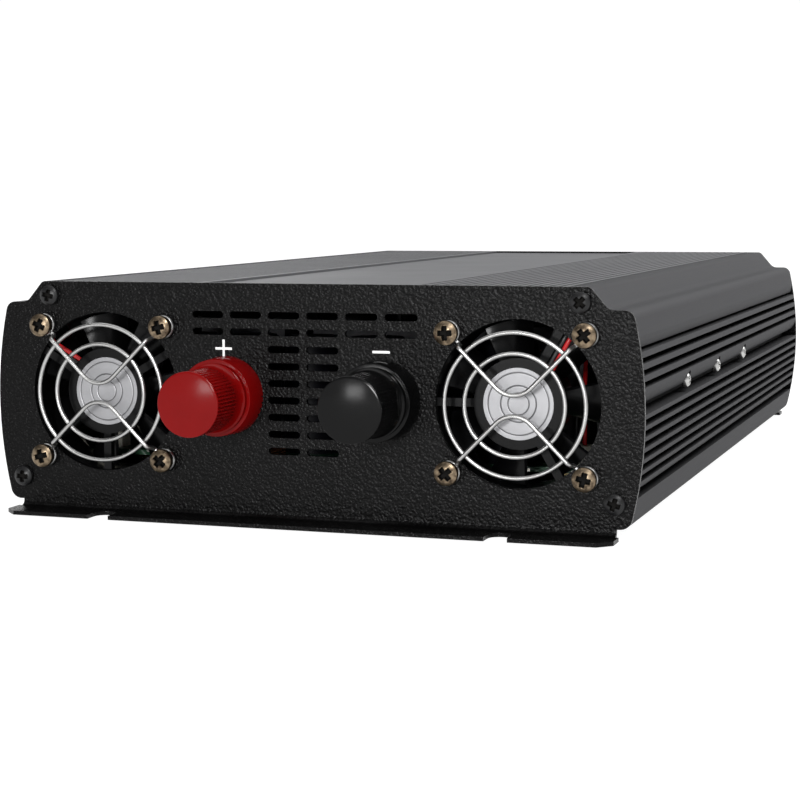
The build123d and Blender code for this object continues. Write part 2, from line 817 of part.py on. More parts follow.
def fan_rotor(side):
    """Rotor: a cup on a shaft, with twisted, cambered blades."""
    blade_rise = rotor_end - rotor_open - blade_thickness
    tip_radius = fan_bore_radius - blade_tip_gap
    with BuildPart() as rotor:
        for i in range(blade_count):
            angle = 360 / blade_count * i
            with BuildSketch(blade_plane(side, angle, rotor_radius - blade_root_sink)):
                add(blade_section(blade_root_run, blade_rise - blade_root_inset))
            with BuildSketch(blade_plane(side, angle, fan_bore_radius + overcut)):
                add(blade_section(blade_tip_run, blade_rise - blade_tip_inset))
            loft()
        with BuildSketch(fan_plane(side, rotor_open)):
            Circle(tip_radius)
        extrude(amount=-(rotor_end - rotor_open), mode=Mode.INTERSECT)
        with BuildSketch(fan_plane(side, rotor_open)):
            Circle(rotor_radius)
        extrude(amount=-(rotor_end - rotor_open))
        with BuildSketch(fan_plane(side, rotor_open)):
            Circle(rotor_radius - rotor_wall)
        extrude(amount=-(rotor_end - rotor_open - rotor_cap), mode=Mode.SUBTRACT)
        with BuildSketch(fan_plane(side, rotor_end - rotor_cap)):
            Circle(shaft_radius)
        extrude(amount=rotor_end - rotor_cap - rotor_open)
    save(rotor, f"{side}_fan_rotor")


def fan_bearings():
    """Sleeve bearings in the bearing tubes."""
    with BuildPart() as bearings:
        for side in fan_xs:
            with BuildSketch(fan_plane(side, hub_base + fit_clearance)):
                Circle(bearing_radius)
                Circle(shaft_radius + shaft_clearance, mode=Mode.SUBTRACT)
            extrude(amount=-(bearing_length - fit_clearance))
    save(bearings, "fan_bearings")


def fan_stators():
    """Laminated stators with their pole shoes and coils, pressed on the bearing tubes."""
    with BuildPart() as stators:
        for side in fan_xs:
            middle = hub_base + rotor_gap + rotor_wall + stator_length / 2
            with BuildSketch(fan_plane(side, middle)):
                Circle(stator_radius)
                Circle(stator_radius - pole_shoe, mode=Mode.SUBTRACT)
                with PolarLocations(0, stator_poles // 2, start_angle=45, angular_range=180):
                    Rectangle(2 * stator_radius, pole_gap, mode=Mode.SUBTRACT)
                with PolarLocations(0, stator_poles // 2, angular_range=180):
                    Rectangle(2 * stator_radius - pole_shoe, pole_width)
                Circle(stator_hub_radius)
                Circle(bearing_tube_radius + fit_clearance, mode=Mode.SUBTRACT)
            extrude(amount=stator_length / 2, both=True)
            with BuildSketch(fan_plane(side, middle)):
                with PolarLocations(coil_centre, stator_poles):
                    Rectangle(coil_length, coil_width)
            extrude(amount=stator_length / 2 + coil_overhang, both=True)
    save(stators, "fan_stators")


def fan_labels():
    """Round foil discs on the motor bases."""
    with BuildPart() as labels:
        for side in fan_xs:
            with BuildSketch(fan_plane(side, label_thickness)):
                Circle(label_radius)
            extrude(amount=label_thickness)
    save(labels, "fan_labels")


def fan_guard(side):
    """Wire finger guard: two rings, and two bent spoke wires that end in eyelets."""
    x = fan_xs[side]
    reach = fan_hole_pitch / 2
    foot = reach - eyelet_radius * sqrt(0.5)
    heel = reach - (fan_screw[0] + 2 * wire_radius) * sqrt(0.5)
    knee = heel - wire_radius
    with BuildPart() as guard:
        with BuildSketch(axis_plane(x, fan_height)):
            with Locations((guard_outer_radius, -guard_standoff), (guard_inner_radius, -guard_standoff)):
                Circle(wire_radius)
        revolve(axis=axis_line(x, fan_height))
        for up in (-1, 1):
            for across in (-1, 1):
                eyelet_x = x + across * reach
                eyelet_z = fan_height + up * reach
                with BuildSketch(axis_plane(eyelet_x, eyelet_z)):
                    with Locations((eyelet_radius, -wire_radius)):
                        Circle(wire_radius)
                revolve(axis=axis_line(eyelet_x, eyelet_z))
            route = [
                (x - foot, front_y - wire_radius, fan_height + up * foot),
                (x - heel, front_y - wire_radius, fan_height + up * heel),
                (x - knee, front_y - spoke_standoff, fan_height + up * knee),
                (x, front_y - spoke_standoff, fan_height),
                (x + knee, front_y - spoke_standoff, fan_height + up * knee),
                (x + heel, front_y - wire_radius, fan_height + up * heel),
                (x + foot, front_y - wire_radius, fan_height + up * foot),
            ]
            with BuildLine() as spoke:
                FilletPolyline(*route, radius=[foot_bend, foot_bend, spoke_bend, foot_bend, foot_bend])
            with BuildSketch(Plane(origin=spoke.line @ 0, z_dir=spoke.line % 0)):
                Circle(wire_radius)
            sweep(path=spoke.line)
    save(guard, f"{side}_fan_guard")


def fan_screw_places(out):
    """Planes on the fan screws' axes."""
    reach = fan_hole_pitch / 2
    return [front_plane(x + across * reach, fan_height + up * reach, out)
            for x in fan_xs.values() for across in (-1, 1) for up in (-1, 1)]


def lock_washer():
    """Split lock washer, its seat on the XY plane."""
    with BuildPart() as washer:
        with BuildSketch():
            Circle(washer_radius)
            Circle(fan_screw[2] + hole_clearance, mode=Mode.SUBTRACT)
            with Locations((washer_radius, 0)):
                Rectangle(washer_radius, washer_thickness, mode=Mode.SUBTRACT)
        extrude(amount=washer_thickness)
    return washer.part


def hex_nut(flats, height, bore_radius):
    """Hexagon nut, its seat on the XY plane."""
    with BuildPart() as nut:
        with BuildSketch():
            RegularPolygon(flats / 2, 6, major_radius=False)
            Circle(bore_radius, mode=Mode.SUBTRACT)
        extrude(amount=height)
    return nut.part


def lead_point(side, along, across, depth):
    """Point beside a fan's first strut: along it, across it and behind the fan's front face."""
    angle = radians(lead_angles[side])
    x = fan_xs[side] + along * cos(angle) - across * sin(angle)
    z = fan_height + along * sin(angle) + across * cos(angle)
    return (x, inner_front_y + depth, z)


def fan_leads(name, lane):
    """One colour of fan lead on both fans, from the motor base to the board connector."""
    across = -(strut_width / 2 + lead_gap + lead_radius + lane * lead_pitch)
    pair_across = -(strut_width / 2 + lead_gap + lead_radius + lead_pitch / 2) + lead_shift
    hub_edge = sqrt(hub_radius ** 2 - (across + lead_radius) ** 2)
    end_y = board_front_y + connector_setback
    end_z = board_top + connector_size[2]
    with BuildPart() as leads:
        for side, x in fan_xs.items():
            hand = 1 if x > 0 else -1
            behind = lead_point(side, lead_reach, pair_across, fan_depth + lead_tail)
            pin_x = hand * connector_x + (lane - 0.5) * pin_pitch
            route = [
                lead_point(side, hub_edge, across, lead_depth),
                lead_point(side, lead_reach, across, lead_depth),
                (behind[0] + (lane - 0.5) * lead_spread, behind[1], behind[2]),
                (pin_x, end_y, (behind[2] + end_z) / 2),
                (pin_x, end_y, end_z),
            ]
            with BuildLine() as path:
                FilletPolyline(*route, radius=[lead_bend, lead_sweep, lead_sweep])
            with BuildSketch(Plane(origin=path.line @ 0, z_dir=path.line % 0)):
                Circle(lead_radius)
            sweep(path=path.line)
            length = path.wires()[0].length
            print(name, side, "length", round(length, 1), "bends", lead_bend, lead_sweep, lead_sweep)
    save(leads, name)


def fan_connectors():
    """Two-pin connectors of the fan leads on the main board."""
    width, depth, height = connector_size
    with BuildPart() as connectors:
        with BuildSketch(Plane.XY.offset(board_top)):
            with Locations(*[(hand * connector_x, board_front_y + connector_setback) for hand in (-1, 1)]):
                Rectangle(width, depth)
        extrude(amount=height)
    save(connectors, "fan_connectors")


# ---- Terminals ----

def terminal_base(pole):
    """Tapered insulating base with a toothed foot and a recess for the stud's collar."""
    x = terminal_xs[pole]
    bore = stud_radius + hole_clearance
    recess = collar_radius + collar_room
    seat = collar_face - collar_thickness
    with BuildPart() as base:
        with BuildSketch(axis_plane(x, fan_height)):
            with BuildLine():
                Polyline(
                    (bore, plate),
                    (plate_boss_radius, plate),
                    (plate_boss_radius, 0),
                    (base_foot_radius, 0),
                    (base_rim_radius, -base_length),
                    (recess, -base_length),
                    (recess, -seat),
                    (bore, -seat),
                    close=True,
                )
            make_face()
            fillet(vertices().sort_by_distance((base_rim_radius, -base_length))[0], base_rim_round)
        revolve(axis=axis_line(x, fan_height))
        with BuildSketch(front_plane(x, fan_height)):
            with PolarLocations(base_foot_radius, base_teeth):
                Rectangle(2 * base_tooth_depth, base_tooth_length)
        extrude(amount=base_tooth_length, mode=Mode.SUBTRACT)
    save(base, f"{pole}_terminal_base")


def terminal_stud(pole):
    """Brass stud with the collar that the cable lug is clamped on."""
    tail = inner_stack + terminal_nut_height + stud_tail
    with BuildPart() as stud:
        with BuildSketch(front_plane(terminal_xs[pole], fan_height, -tail)):
            Circle(stud_radius)
        extrude(amount=tail + collar_face + stud_engagement)
        with BuildSketch(front_plane(terminal_xs[pole], fan_height, collar_face)):
            Circle(collar_radius)
        extrude(amount=-collar_thickness)
    save(stud, f"{pole}_terminal_stud")


def clamp_washer(pole):
    """Captive brass washer between the cap and the cable lug."""
    with BuildPart() as washer:
        with BuildSketch(front_plane(terminal_xs[pole], fan_height, washer_face)):
            Circle(collar_radius)
            Circle(stud_radius + hole_clearance, mode=Mode.SUBTRACT)
        extrude(amount=clamp_washer_thickness)
    save(washer, f"{pole}_clamp_washer")


def knurl(radius, depth, count):
    """Toothed outline of a knurled cap, inside a sketch."""
    points = []
    for i in range(2 * count):
        reach = radius - depth * (i % 2)
        angle = radians(180 / count * i)
        points.append((reach * cos(angle), reach * sin(angle)))
    Polygon(*points, align=None)


def terminal_cap(pole):
    """Knurled screw cap with a smooth flared skirt and a slightly domed face."""
    x = terminal_xs[pole]
    taper_end = cap_radius - knurl_depth - knurl_step
    core = taper_end - knurl_depth
    rim_radius = cap_radius + knurl_step
    rim_y = cap_rim - cap_front
    edge_y = cap_dome - cap_front
    dome_radius = (rim_radius ** 2 + cap_dome ** 2) / (2 * cap_dome)
    dome_sweep = degrees(asin(rim_radius / dome_radius))
    washer_room = collar_radius + 2 * hole_clearance
    ceiling = washer_top + seat_gap
    blind_end = ceiling + insert_length + hole_clearance
    with BuildPart() as cap:
        with BuildSketch(axis_plane(x, fan_height)):
            with BuildLine():
                Polyline((0, -blind_end), (insert_radius + fit_clearance, -blind_end),
                         (insert_radius + fit_clearance, -ceiling), (washer_room, -ceiling),
                         (washer_room, -cap_foot), (skirt_radius, -cap_foot),
                         (skirt_radius, -cap_foot - skirt_height))
                TangentArc((skirt_radius, -cap_foot - skirt_height), (taper_end, -knurl_start),
                           tangent=(-1, -cap_flare))
                Polyline((taper_end, -knurl_start), (core, -knurl_start), (core, rim_y),
                         (rim_radius, rim_y), (rim_radius, edge_y))
                CenterArc((0, dome_radius - cap_front), dome_radius, 270, dome_sweep)
                Line((0, -cap_front), (0, -blind_end))
            make_face()
        revolve(axis=axis_line(x, fan_height))
        with BuildSketch(front_plane(x, fan_height, knurl_start)):
            knurl(cap_radius, knurl_depth, knurl_teeth)
            Circle(core - knurl_depth, mode=Mode.SUBTRACT)
        extrude(amount=cap_front - cap_rim - knurl_start)
    save(cap, f"{pole}_terminal_cap")


def cap_insert(pole):
    """Threaded brass insert moulded into a cap."""
    ceiling = washer_top + seat_gap
    with BuildPart() as insert:
        with BuildSketch(front_plane(terminal_xs[pole], fan_height, ceiling)):
            Circle(insert_radius)
            Circle(stud_radius + thread_clearance, mode=Mode.SUBTRACT)
        extrude(amount=insert_length)
    save(insert, f"{pole}_cap_insert")


def inner_insulators():
    """Insulating washers behind the end plate."""
    with BuildPart() as washers:
        with BuildSketch(end_plane("front", -plate)):
            with Locations(*[(x, fan_height) for x in terminal_xs.values()]):
                Circle(insulator_radius)
                Circle(stud_radius + hole_clearance, mode=Mode.SUBTRACT)
        extrude(amount=-insulator_thickness)
    save(washers, "terminal_insulators")


def bus_bar(pole):
    """Copper bar from a terminal stud down to the main board."""
    x = terminal_xs[pole]
    face = plate + insulator_thickness
    foot = board_front + bus_landing - face
    with BuildPart() as bar:
        with BuildSketch(front_plane(x, fan_height, -face)):
            Circle(bus_width / 2)
            Rectangle(bus_width, fan_height - board_top, align=(Align.CENTER, Align.MAX))
            Circle(stud_radius + hole_clearance, mode=Mode.SUBTRACT)
        extrude(amount=-bus_thickness)
        with BuildSketch(Plane.XY.offset(board_top)):
            with Locations((x, front_y + face)):
                Rectangle(bus_width, foot, align=(Align.CENTER, Align.MIN))
        extrude(amount=bus_thickness)
    save(bar, f"{pole}_bus_bar")


# ---- Electronics ----

def board_screw_places():
    """Screws of the main board, on the board's plane."""
    ys = (board_front_y + board_screw_margin, 0, board_rear_y - board_screw_margin)
    return [(hand * board_screw_x, y) for hand in (-1, 1) for y in ys]


def main_board():
    """Main circuit board across the whole case."""
    with BuildPart() as board:
        with BuildSketch(Plane.XY.offset(board_lift)):
            with Locations((0, (board_front_y + board_rear_y) / 2)):
                Rectangle(2 * board_half_width, board_rear_y - board_front_y)
            with Locations(*board_screw_places()):
                Circle(board_screw[2] + hole_clearance, mode=Mode.SUBTRACT)
        extrude(amount=board_thickness)
    save(board, "main_board")


def upright_group(name, places, radius, height):
    """Round capacitors standing on the board."""
    with BuildPart() as group:
        for place in places:
            with BuildSketch(Plane.XY.offset(board_top)):
                with Locations(place):
                    Circle(radius)
            extrude(amount=height)
        chamfer(group.edges().group_by(Axis.Z)[-1], capacitor_round)
    save(group, name)


def row(count, pitch):
    """Places of a centred row."""
    return [(i - (count - 1) / 2) * pitch for i in range(count)]


def transformer_parts():
    """Ferrite cores and their windings."""
    window_height = transformer_height - 2 * transformer_leg
    middle_z = board_top + transformer_height / 2
    with BuildPart() as cores:
        for x in row(transformer_count, transformer_pitch):
            with BuildSketch(Plane(origin=(x, transformer_y, middle_z), x_dir=(1, 0, 0), z_dir=(0, -1, 0))):
                Rectangle(transformer_width, transformer_height)
                window_x = (transformer_width - transformer_window) / 2 - transformer_leg
                with Locations((-window_x, 0), (window_x, 0)):
                    Rectangle(transformer_window, window_height, mode=Mode.SUBTRACT)
            extrude(amount=transformer_core / 2, both=True)
    save(cores, "transformer_cores")
    room = transformer_width - 2 * transformer_leg
    centre_leg = room - 2 * transformer_window
    with BuildPart() as windings:
        for x in row(transformer_count, transformer_pitch):
            with BuildSketch(Plane(origin=(x, transformer_y, middle_z))):
                RectangleRounded(room - 2 * fit_clearance, transformer_winding, transformer_round)
                Rectangle(centre_leg + 2 * fit_clearance, transformer_core + 2 * fit_clearance,
                          mode=Mode.SUBTRACT)
            extrude(amount=window_height / 2 - fit_clearance, both=True)
    save(windings, "transformer_windings")


def output_inductor():
    """Toroidal output choke: its core and two windings."""
    core_z = board_top + winding_thickness
    spin = Axis((0, inductor_y, 0), (0, 0, 1))
    with BuildPart() as core:
        with BuildSketch(Plane(origin=(0, inductor_y, core_z))):
            Circle(inductor_radius)
            Circle(inductor_bore, mode=Mode.SUBTRACT)
        extrude(amount=inductor_height)
    save(core, "output_inductor_core")
    with BuildPart() as winding:
        for hand in (-1, 1):
            with BuildSketch(Plane(origin=(0, inductor_y, core_z), x_dir=(hand, 0, 0), z_dir=(0, -hand, 0))):
                middle = (inductor_radius + inductor_bore) / 2
                width = inductor_radius - inductor_bore
                with Locations((middle, inductor_height / 2)):
                    Rectangle(width + 2 * winding_thickness, inductor_height + 2 * winding_thickness)
                    Rectangle(width + 2 * fit_clearance, inductor_height + 2 * fit_clearance,
                              mode=Mode.SUBTRACT)
            revolve(axis=spin, revolution_arc=winding_sweep)
    save(winding, "output_inductor_windings")


def power_transistors():
    """Transistors clamped against both side walls, with their legs on the main board."""
    bottom = clamp_z - transistor_height / 2
    with BuildPart() as transistors:
        for hand in (-1, 1):
            wall = Plane(origin=(hand * wall_x, 0, clamp_z), x_dir=(0, -hand, 0), z_dir=(-hand, 0, 0))
            ys = [-hand * (y + offset) for y in clamp_ys for offset in transistor_offsets]
            with BuildSketch(wall):
                with Locations(*[(y, 0) for y in ys]):
                    Rectangle(transistor_width, transistor_height)
            extrude(amount=transistor_tab)
            with BuildSketch(wall):
                with Locations(*[(y, -transistor_height / 2) for y in ys]):
                    Rectangle(transistor_width, transistor_body, align=(Align.CENTER, Align.MIN))
            extrude(amount=transistor_thickness)
            leg_x = hand * (wall_x - transistor_thickness / 2)
            with BuildSketch(Plane.XY.offset(board_top)):
                for y in clamp_ys:
                    for offset in transistor_offsets:
                        with Locations(*[(leg_x, y + offset + step * leg_pitch) for step in (-1, 0, 1)]):
                            Rectangle(leg_thickness, leg_width)
            extrude(amount=bottom - board_top)
    save(transistors, "power_transistors")


def clamp_bars():
    """Steel bars that press the transistors to the walls."""
    inner_x = wall_x - transistor_thickness - clamp_bar_thickness
    length = (clamp_screws - 1) * clamp_screw_pitch + 2 * clamp_bar_overhang
    middle_y = (clamp_ys[0] + clamp_ys[-1]) / 2
    with BuildPart() as bars:
        for hand in (-1, 1):
            with BuildSketch(Plane(origin=(hand * inner_x, 0, clamp_z), x_dir=(0, 1, 0), z_dir=(hand, 0, 0))):
                with Locations((middle_y, 0)):
                    Rectangle(length, clamp_bar_height)
                with Locations(*[(y, 0) for y in clamp_ys]):
                    Circle(clamp_screw[2] + pilot_clearance, mode=Mode.SUBTRACT)
            extrude(amount=clamp_bar_thickness)
    save(bars, "transistor_clamp_bars")


def control_board():
    """Upright control board."""
    with BuildPart() as board:
        with BuildSketch(Plane(origin=(0, control_y, board_top), x_dir=(1, 0, 0), z_dir=(0, -1, 0))):
            Rectangle(control_width, control_height, align=(Align.CENTER, Align.MIN))
        extrude(amount=board_thickness)
    save(board, "control_board")


def fuses():
    """Blade fuses between the transformers and the high-voltage capacitors."""
    with BuildPart() as group:
        with BuildSketch(Plane.XY.offset(board_top)):
            with Locations(*[(x, fuse_y) for x in row(fuse_count, fuse_pitch)]):
                Rectangle(fuse_thickness, fuse_length)
        extrude(amount=fuse_height)
    save(group, "fuses")


# ---- Alternating-current end ----

def outlet_xs():
    """Outlets from the ground stud's side to the switch's, as seen from outside."""
    return [first_outlet_x + i * outlet_pitch for i in range(outlet_count)]


def lamp_xs():
    """Indicator lamps in a row below the charging port."""
    return [usb_x + x for x in row(lamp_count, lamp_pitch)]


def outlets():
    """Snap-in mains outlets, each with two blade slots and an earth hole."""
    with BuildPart() as group:
        for x in outlet_xs():
            with BuildSketch(rear_plane(x, outlet_height)):
                RectangleRounded(outlet_width, outlet_face, outlet_corner)
            extrude(amount=outlet_bezel)
            with BuildSketch(rear_plane(x, outlet_height)):
                RectangleRounded(outlet_width - 2 * outlet_body_inset, outlet_face - 2 * outlet_body_inset,
                                 outlet_corner - panel_fit)
            extrude(amount=-outlet_body)
            with BuildSketch(rear_plane(x, outlet_height, outlet_bezel)):
                with Locations((blade_spacing / 2, slot_rise)):
                    Rectangle(*live_slot)
                with Locations((-blade_spacing / 2, slot_rise)):
                    Rectangle(*neutral_slot)
                with Locations((0, slot_rise - earth_drop)):
                    Circle(earth_hole_radius)
            extrude(amount=-contact_depth, mode=Mode.SUBTRACT)
    save(group, "outlets")


def switch_housing():
    """Snap-in housing of the power switch."""
    width, height = switch_bezel
    body_width, body_height = switch_body
    room = 2 * (rocker_radius + rocker_gap)
    with BuildPart() as housing:
        with BuildSketch(rear_plane(switch_x, switch_height)):
            Rectangle(width, height)
        extrude(amount=switch_bezel_thickness)
        with BuildSketch(rear_plane(switch_x, switch_height)):
            Rectangle(body_width, body_height)
        extrude(amount=-switch_depth)
        with BuildSketch(rear_plane(switch_x, switch_height, switch_bezel_thickness)):
            Rectangle(rocker_width + 2 * rocker_gap, room)
        extrude(amount=-(switch_bezel_thickness + rocker_pivot_depth + rocker_radius), mode=Mode.SUBTRACT)
        pivot = rear_plane(switch_x, switch_height, -rocker_pivot_depth)
        with BuildSketch(Plane(origin=pivot.origin, x_dir=pivot.y_dir, z_dir=pivot.x_dir)):
            Circle(trunnion_radius + thread_clearance)
        extrude(amount=rocker_width / 2 + trunnion_length + hole_clearance / 2, both=True, mode=Mode.SUBTRACT)
    save(housing, "power_switch_housing")


def switch_rocker():
    """Rocker with a valley across its face, tilted to off, on two trunnions."""
    tilt = radians(rocker_tilt)
    pivot = rear_plane(switch_x, switch_height, -rocker_pivot_depth)
    up = pivot.y_dir * cos(tilt) + pivot.z_dir * sin(tilt)
    crest = rocker_pivot_depth + rocker_proud
    with BuildPart() as rocker:
        with BuildSketch(Plane(origin=pivot.origin, x_dir=up, z_dir=pivot.x_dir)):
            with BuildLine():
                Polyline((-rocker_radius, -rocker_tail), (rocker_radius, -rocker_tail),
                         (rocker_radius, crest), (0, crest - rocker_dip), (-rocker_radius, crest),
                         close=True)
            make_face()
            Circle(rocker_radius, mode=Mode.INTERSECT)
        extrude(amount=rocker_width / 2, both=True)
        with BuildSketch(Plane(origin=pivot.origin, x_dir=up, z_dir=pivot.x_dir)):
            Circle(trunnion_radius)
        extrude(amount=rocker_width / 2 + trunnion_length, both=True)
    save(rocker, "power_switch_rocker")


def usb_port():
    """Charging port with its tongue."""
    with BuildPart() as port:
        with BuildSketch(rear_plane(usb_x, usb_height)):
            Rectangle(*usb_body)
        extrude(amount=-usb_depth)
        with BuildSketch(rear_plane(usb_x, usb_height)):
            Rectangle(*usb_opening)
        extrude(amount=usb_back - usb_depth, mode=Mode.SUBTRACT)
        with BuildSketch(rear_plane(usb_x, usb_height, -usb_depth)):
            with Locations((0, usb_tongue_rise)):
                Rectangle(*usb_tongue)
        extrude(amount=usb_depth - usb_back)
    save(port, "usb_port")


def indicator_lamps():
    """Lens of each indicator lamp."""
    with BuildPart() as lamps:
        for x in lamp_xs():
            with BuildSketch(rear_plane(x, lamp_height, -lamp_length + lamp_radius)):
                Circle(lamp_radius)
            extrude(amount=lamp_length)
        fillet(lamps.edges().group_by(Axis.Y)[-1], lamp_round)
    save(lamps, "indicator_lamps")


def ground_stud():
    """Earthing stud through the end plate, undercut where its free thread begins."""
    outside = ground_nut_height + ground_relief + ground_stud_free
    with BuildPart() as stud:
        with BuildSketch(rear_plane(ground_x, ground_height, outside)):
            Circle(ground_stud_radius)
        extrude(amount=-ground_stud_length)
        with BuildSketch(rear_plane(ground_x, ground_height, ground_nut_height)):
            Circle(ground_stud_radius)
            Circle(ground_relief_radius, mode=Mode.SUBTRACT)
        extrude(amount=ground_relief, mode=Mode.SUBTRACT)
    save(stud, "ground_stud")


def build():
    os.makedirs("parts", exist_ok=True)
    right = side_extrusion()
    save(right, "right_side_extrusion")
    with BuildPart() as left:
        mirror(right.part, about=Plane.YZ)
    save(left, "left_side_extrusion")
    save(top_cover(), "top_cover")
    save(bottom_cover(), "bottom_cover")
    save(front_plate(), "front_plate")
    save(rear_plate(), "rear_plate")
    corner = pan_screw(corner_screw)
    for end in ("front", "rear"):
        seats = [Plane(origin=end_plane(end).from_local_coords((x, z, 0)), x_dir=end_plane(end).x_dir,
                       z_dir=end_plane(end).z_dir) for x, z in corner_places()]
        placed(corner, seats, f"{end}_plate_screws")
    placed(pan_screw(clamp_screw),
           [Plane(origin=(hand * pocket_x, y, clamp_z), x_dir=(0, 1, 0), z_dir=(hand, 0, 0))
            for hand in (-1, 1) for y in clamp_ys], "side_clamp_screws")
    for side in fan_xs:
        fan_frame(side)
        fan_rotor(side)
        fan_guard(side)
    fan_bearings()
    fan_stators()
    fan_labels()
    placed(lock_washer(), fan_screw_places(2 * wire_radius), "fan_lock_washers")
    placed(pan_screw(fan_screw), fan_screw_places(2 * wire_radius + washer_thickness), "fan_screws")
    placed(hex_nut(nut_flats, nut_height, fan_screw[2] + thread_clearance),
           fan_screw_places(-plate - fan_depth - nut_height), "fan_nuts")
    fan_leads("fan_leads_black", 0)
    fan_leads("fan_leads_red", 1)
    fan_connectors()
    for pole in terminal_xs:
        terminal_base(pole)
        terminal_stud(pole)
        clamp_washer(pole)
        terminal_cap(pole)
        cap_insert(pole)
        bus_bar(pole)
    inner_insulators()
    placed(hex_nut(terminal_nut_flats, terminal_nut_height, stud_radius + thread_clearance),
           [front_plane(x, fan_height, -inner_stack - terminal_nut_height) for x in terminal_xs.values()],
           "terminal_nuts")
    main_board()
    standoff = hex_nut(standoff_flats, board_lift - bottom_cover_top, board_screw[2] + pilot_clearance)
    placed(standoff, [Plane(origin=(x, y, bottom_cover_top)) for x, y in board_screw_places()],
           "board_standoffs")
    placed(pan_screw(board_screw), [Plane(origin=(x, y, board_top)) for x, y in board_screw_places()],
           "board_screws")
    upright_group("input_capacitors",
                  [(x, capacitor_y) for x in row(capacitor_count, capacitor_pitch)],
                  capacitor_radius, capacitor_height)
    upright_group("bus_capacitors",
                  [(x, bus_capacitor_y) for x in row(2, bus_capacitor_pitch)],
                  bus_capacitor_radius, bus_capacitor_height)
    transformer_parts()
    output_inductor()
    power_transistors()
    clamp_bars()
    control_board()
    fuses()
    outlets()
    switch_housing()
    switch_rocker()
    usb_port()
    indicator_lamps()
    ground_stud()
    placed(hex_nut(ground_nut_flats, ground_nut_height, ground_stud_radius + thread_clearance),
           [rear_plane(ground_x, ground_height), rear_plane(ground_x, ground_height,
                                                                 -plate - ground_nut_height)],
           "ground_nuts")


build()
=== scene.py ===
"""Dresses the power inverter: a finned case, two guarded fans and two screw-cap battery terminals."""
from __future__ import annotations

import itertools
import json
import logging
import math
from collections.abc import Callable, Iterable, Sequence
from dataclasses import dataclass, field
from enum import Enum
from functools import cache

import bmesh
import bpy
from bpy.types import ID, Material, Node, NodeSocket, NodeTree, Object
from mathutils import Matrix, Vector


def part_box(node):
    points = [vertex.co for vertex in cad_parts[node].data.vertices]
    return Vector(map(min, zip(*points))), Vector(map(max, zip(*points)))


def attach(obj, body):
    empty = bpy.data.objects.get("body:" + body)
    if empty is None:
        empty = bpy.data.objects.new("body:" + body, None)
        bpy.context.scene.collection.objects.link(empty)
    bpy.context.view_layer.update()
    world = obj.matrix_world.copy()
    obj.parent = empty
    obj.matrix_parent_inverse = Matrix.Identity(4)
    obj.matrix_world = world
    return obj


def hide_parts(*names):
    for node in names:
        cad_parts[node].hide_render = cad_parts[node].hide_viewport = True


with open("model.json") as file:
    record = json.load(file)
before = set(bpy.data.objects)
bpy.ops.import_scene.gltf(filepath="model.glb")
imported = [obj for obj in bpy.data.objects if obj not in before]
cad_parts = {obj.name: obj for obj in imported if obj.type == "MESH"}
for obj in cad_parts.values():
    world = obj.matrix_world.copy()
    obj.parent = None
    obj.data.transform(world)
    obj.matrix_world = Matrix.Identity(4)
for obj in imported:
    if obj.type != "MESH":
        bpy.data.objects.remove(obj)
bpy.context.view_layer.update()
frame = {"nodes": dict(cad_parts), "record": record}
log = logging.getLogger("inverter")

MM = 0.001
DIAGONAL = math.sqrt(0.5)
UP = Vector((0.0, 0.0, 1.0))
Pair = tuple[float, float]
Triple = tuple[float, float, float]
Colour = Triple
Tone = Colour | NodeSocket
Ring = list[Vector]

# Points round a wire and along one of its bends.
WIRE_SIDES = 16
BEND_STEPS = 8

# Places of the colour sockets of a Mix node.
FIRST_COLOUR, SECOND_COLOUR, MIXED_COLOUR = 6, 7, 2


class Facing(Enum):
    """Directions that a seat can face."""

    FRONT = Vector((0.0, -1.0, 0.0))
    REAR = Vector((0.0, 1.0, 0.0))
    RIGHT = Vector((1.0, 0.0, 0.0))
    LEFT = Vector((-1.0, 0.0, 0.0))


class Pole(Enum):
    """The two battery terminals, by the side of the centre line that each is on."""

    POSITIVE = -1
    NEGATIVE = 1


# ---- shader graphs


class Signal:
    """One output socket; arithmetic on it adds Math nodes."""

    def __init__(self, graph: Graph, socket: NodeSocket) -> None:
        """Keep the socket and the graph that it belongs to."""
        self.graph = graph
        self.socket = socket

    def __add__(self, other: Signal | float) -> Signal:
        """Sum."""
        return self.graph.math("ADD", self, other)

    def __sub__(self, other: Signal | float) -> Signal:
        """Difference."""
        return self.graph.math("SUBTRACT", self, other)

    def __mul__(self, other: Signal | float) -> Signal:
        """Product."""
        return self.graph.math("MULTIPLY", self, other)

    def __truediv__(self, other: Signal | float) -> Signal:
        """Quotient."""
        return self.graph.math("DIVIDE", self, other)

    def __rsub__(self, other: float) -> Signal:
        """Difference from a number."""
        return self.graph.math("SUBTRACT", other, self)

    def clamp(self) -> Signal:
        """Hold the value between 0 and 1."""
        return self.graph.math("MINIMUM", self.graph.math("MAXIMUM", self, 0.0), 1.0)

    def above(self, edge: float, width: float) -> Signal:
        """Rise from 0 to 1 over a width that starts at an edge."""
        return ((self - edge) / width).clamp()

    def wave(self) -> Signal:
        """Sine of the value, in radians."""
        return self.graph.math("SINE", self)


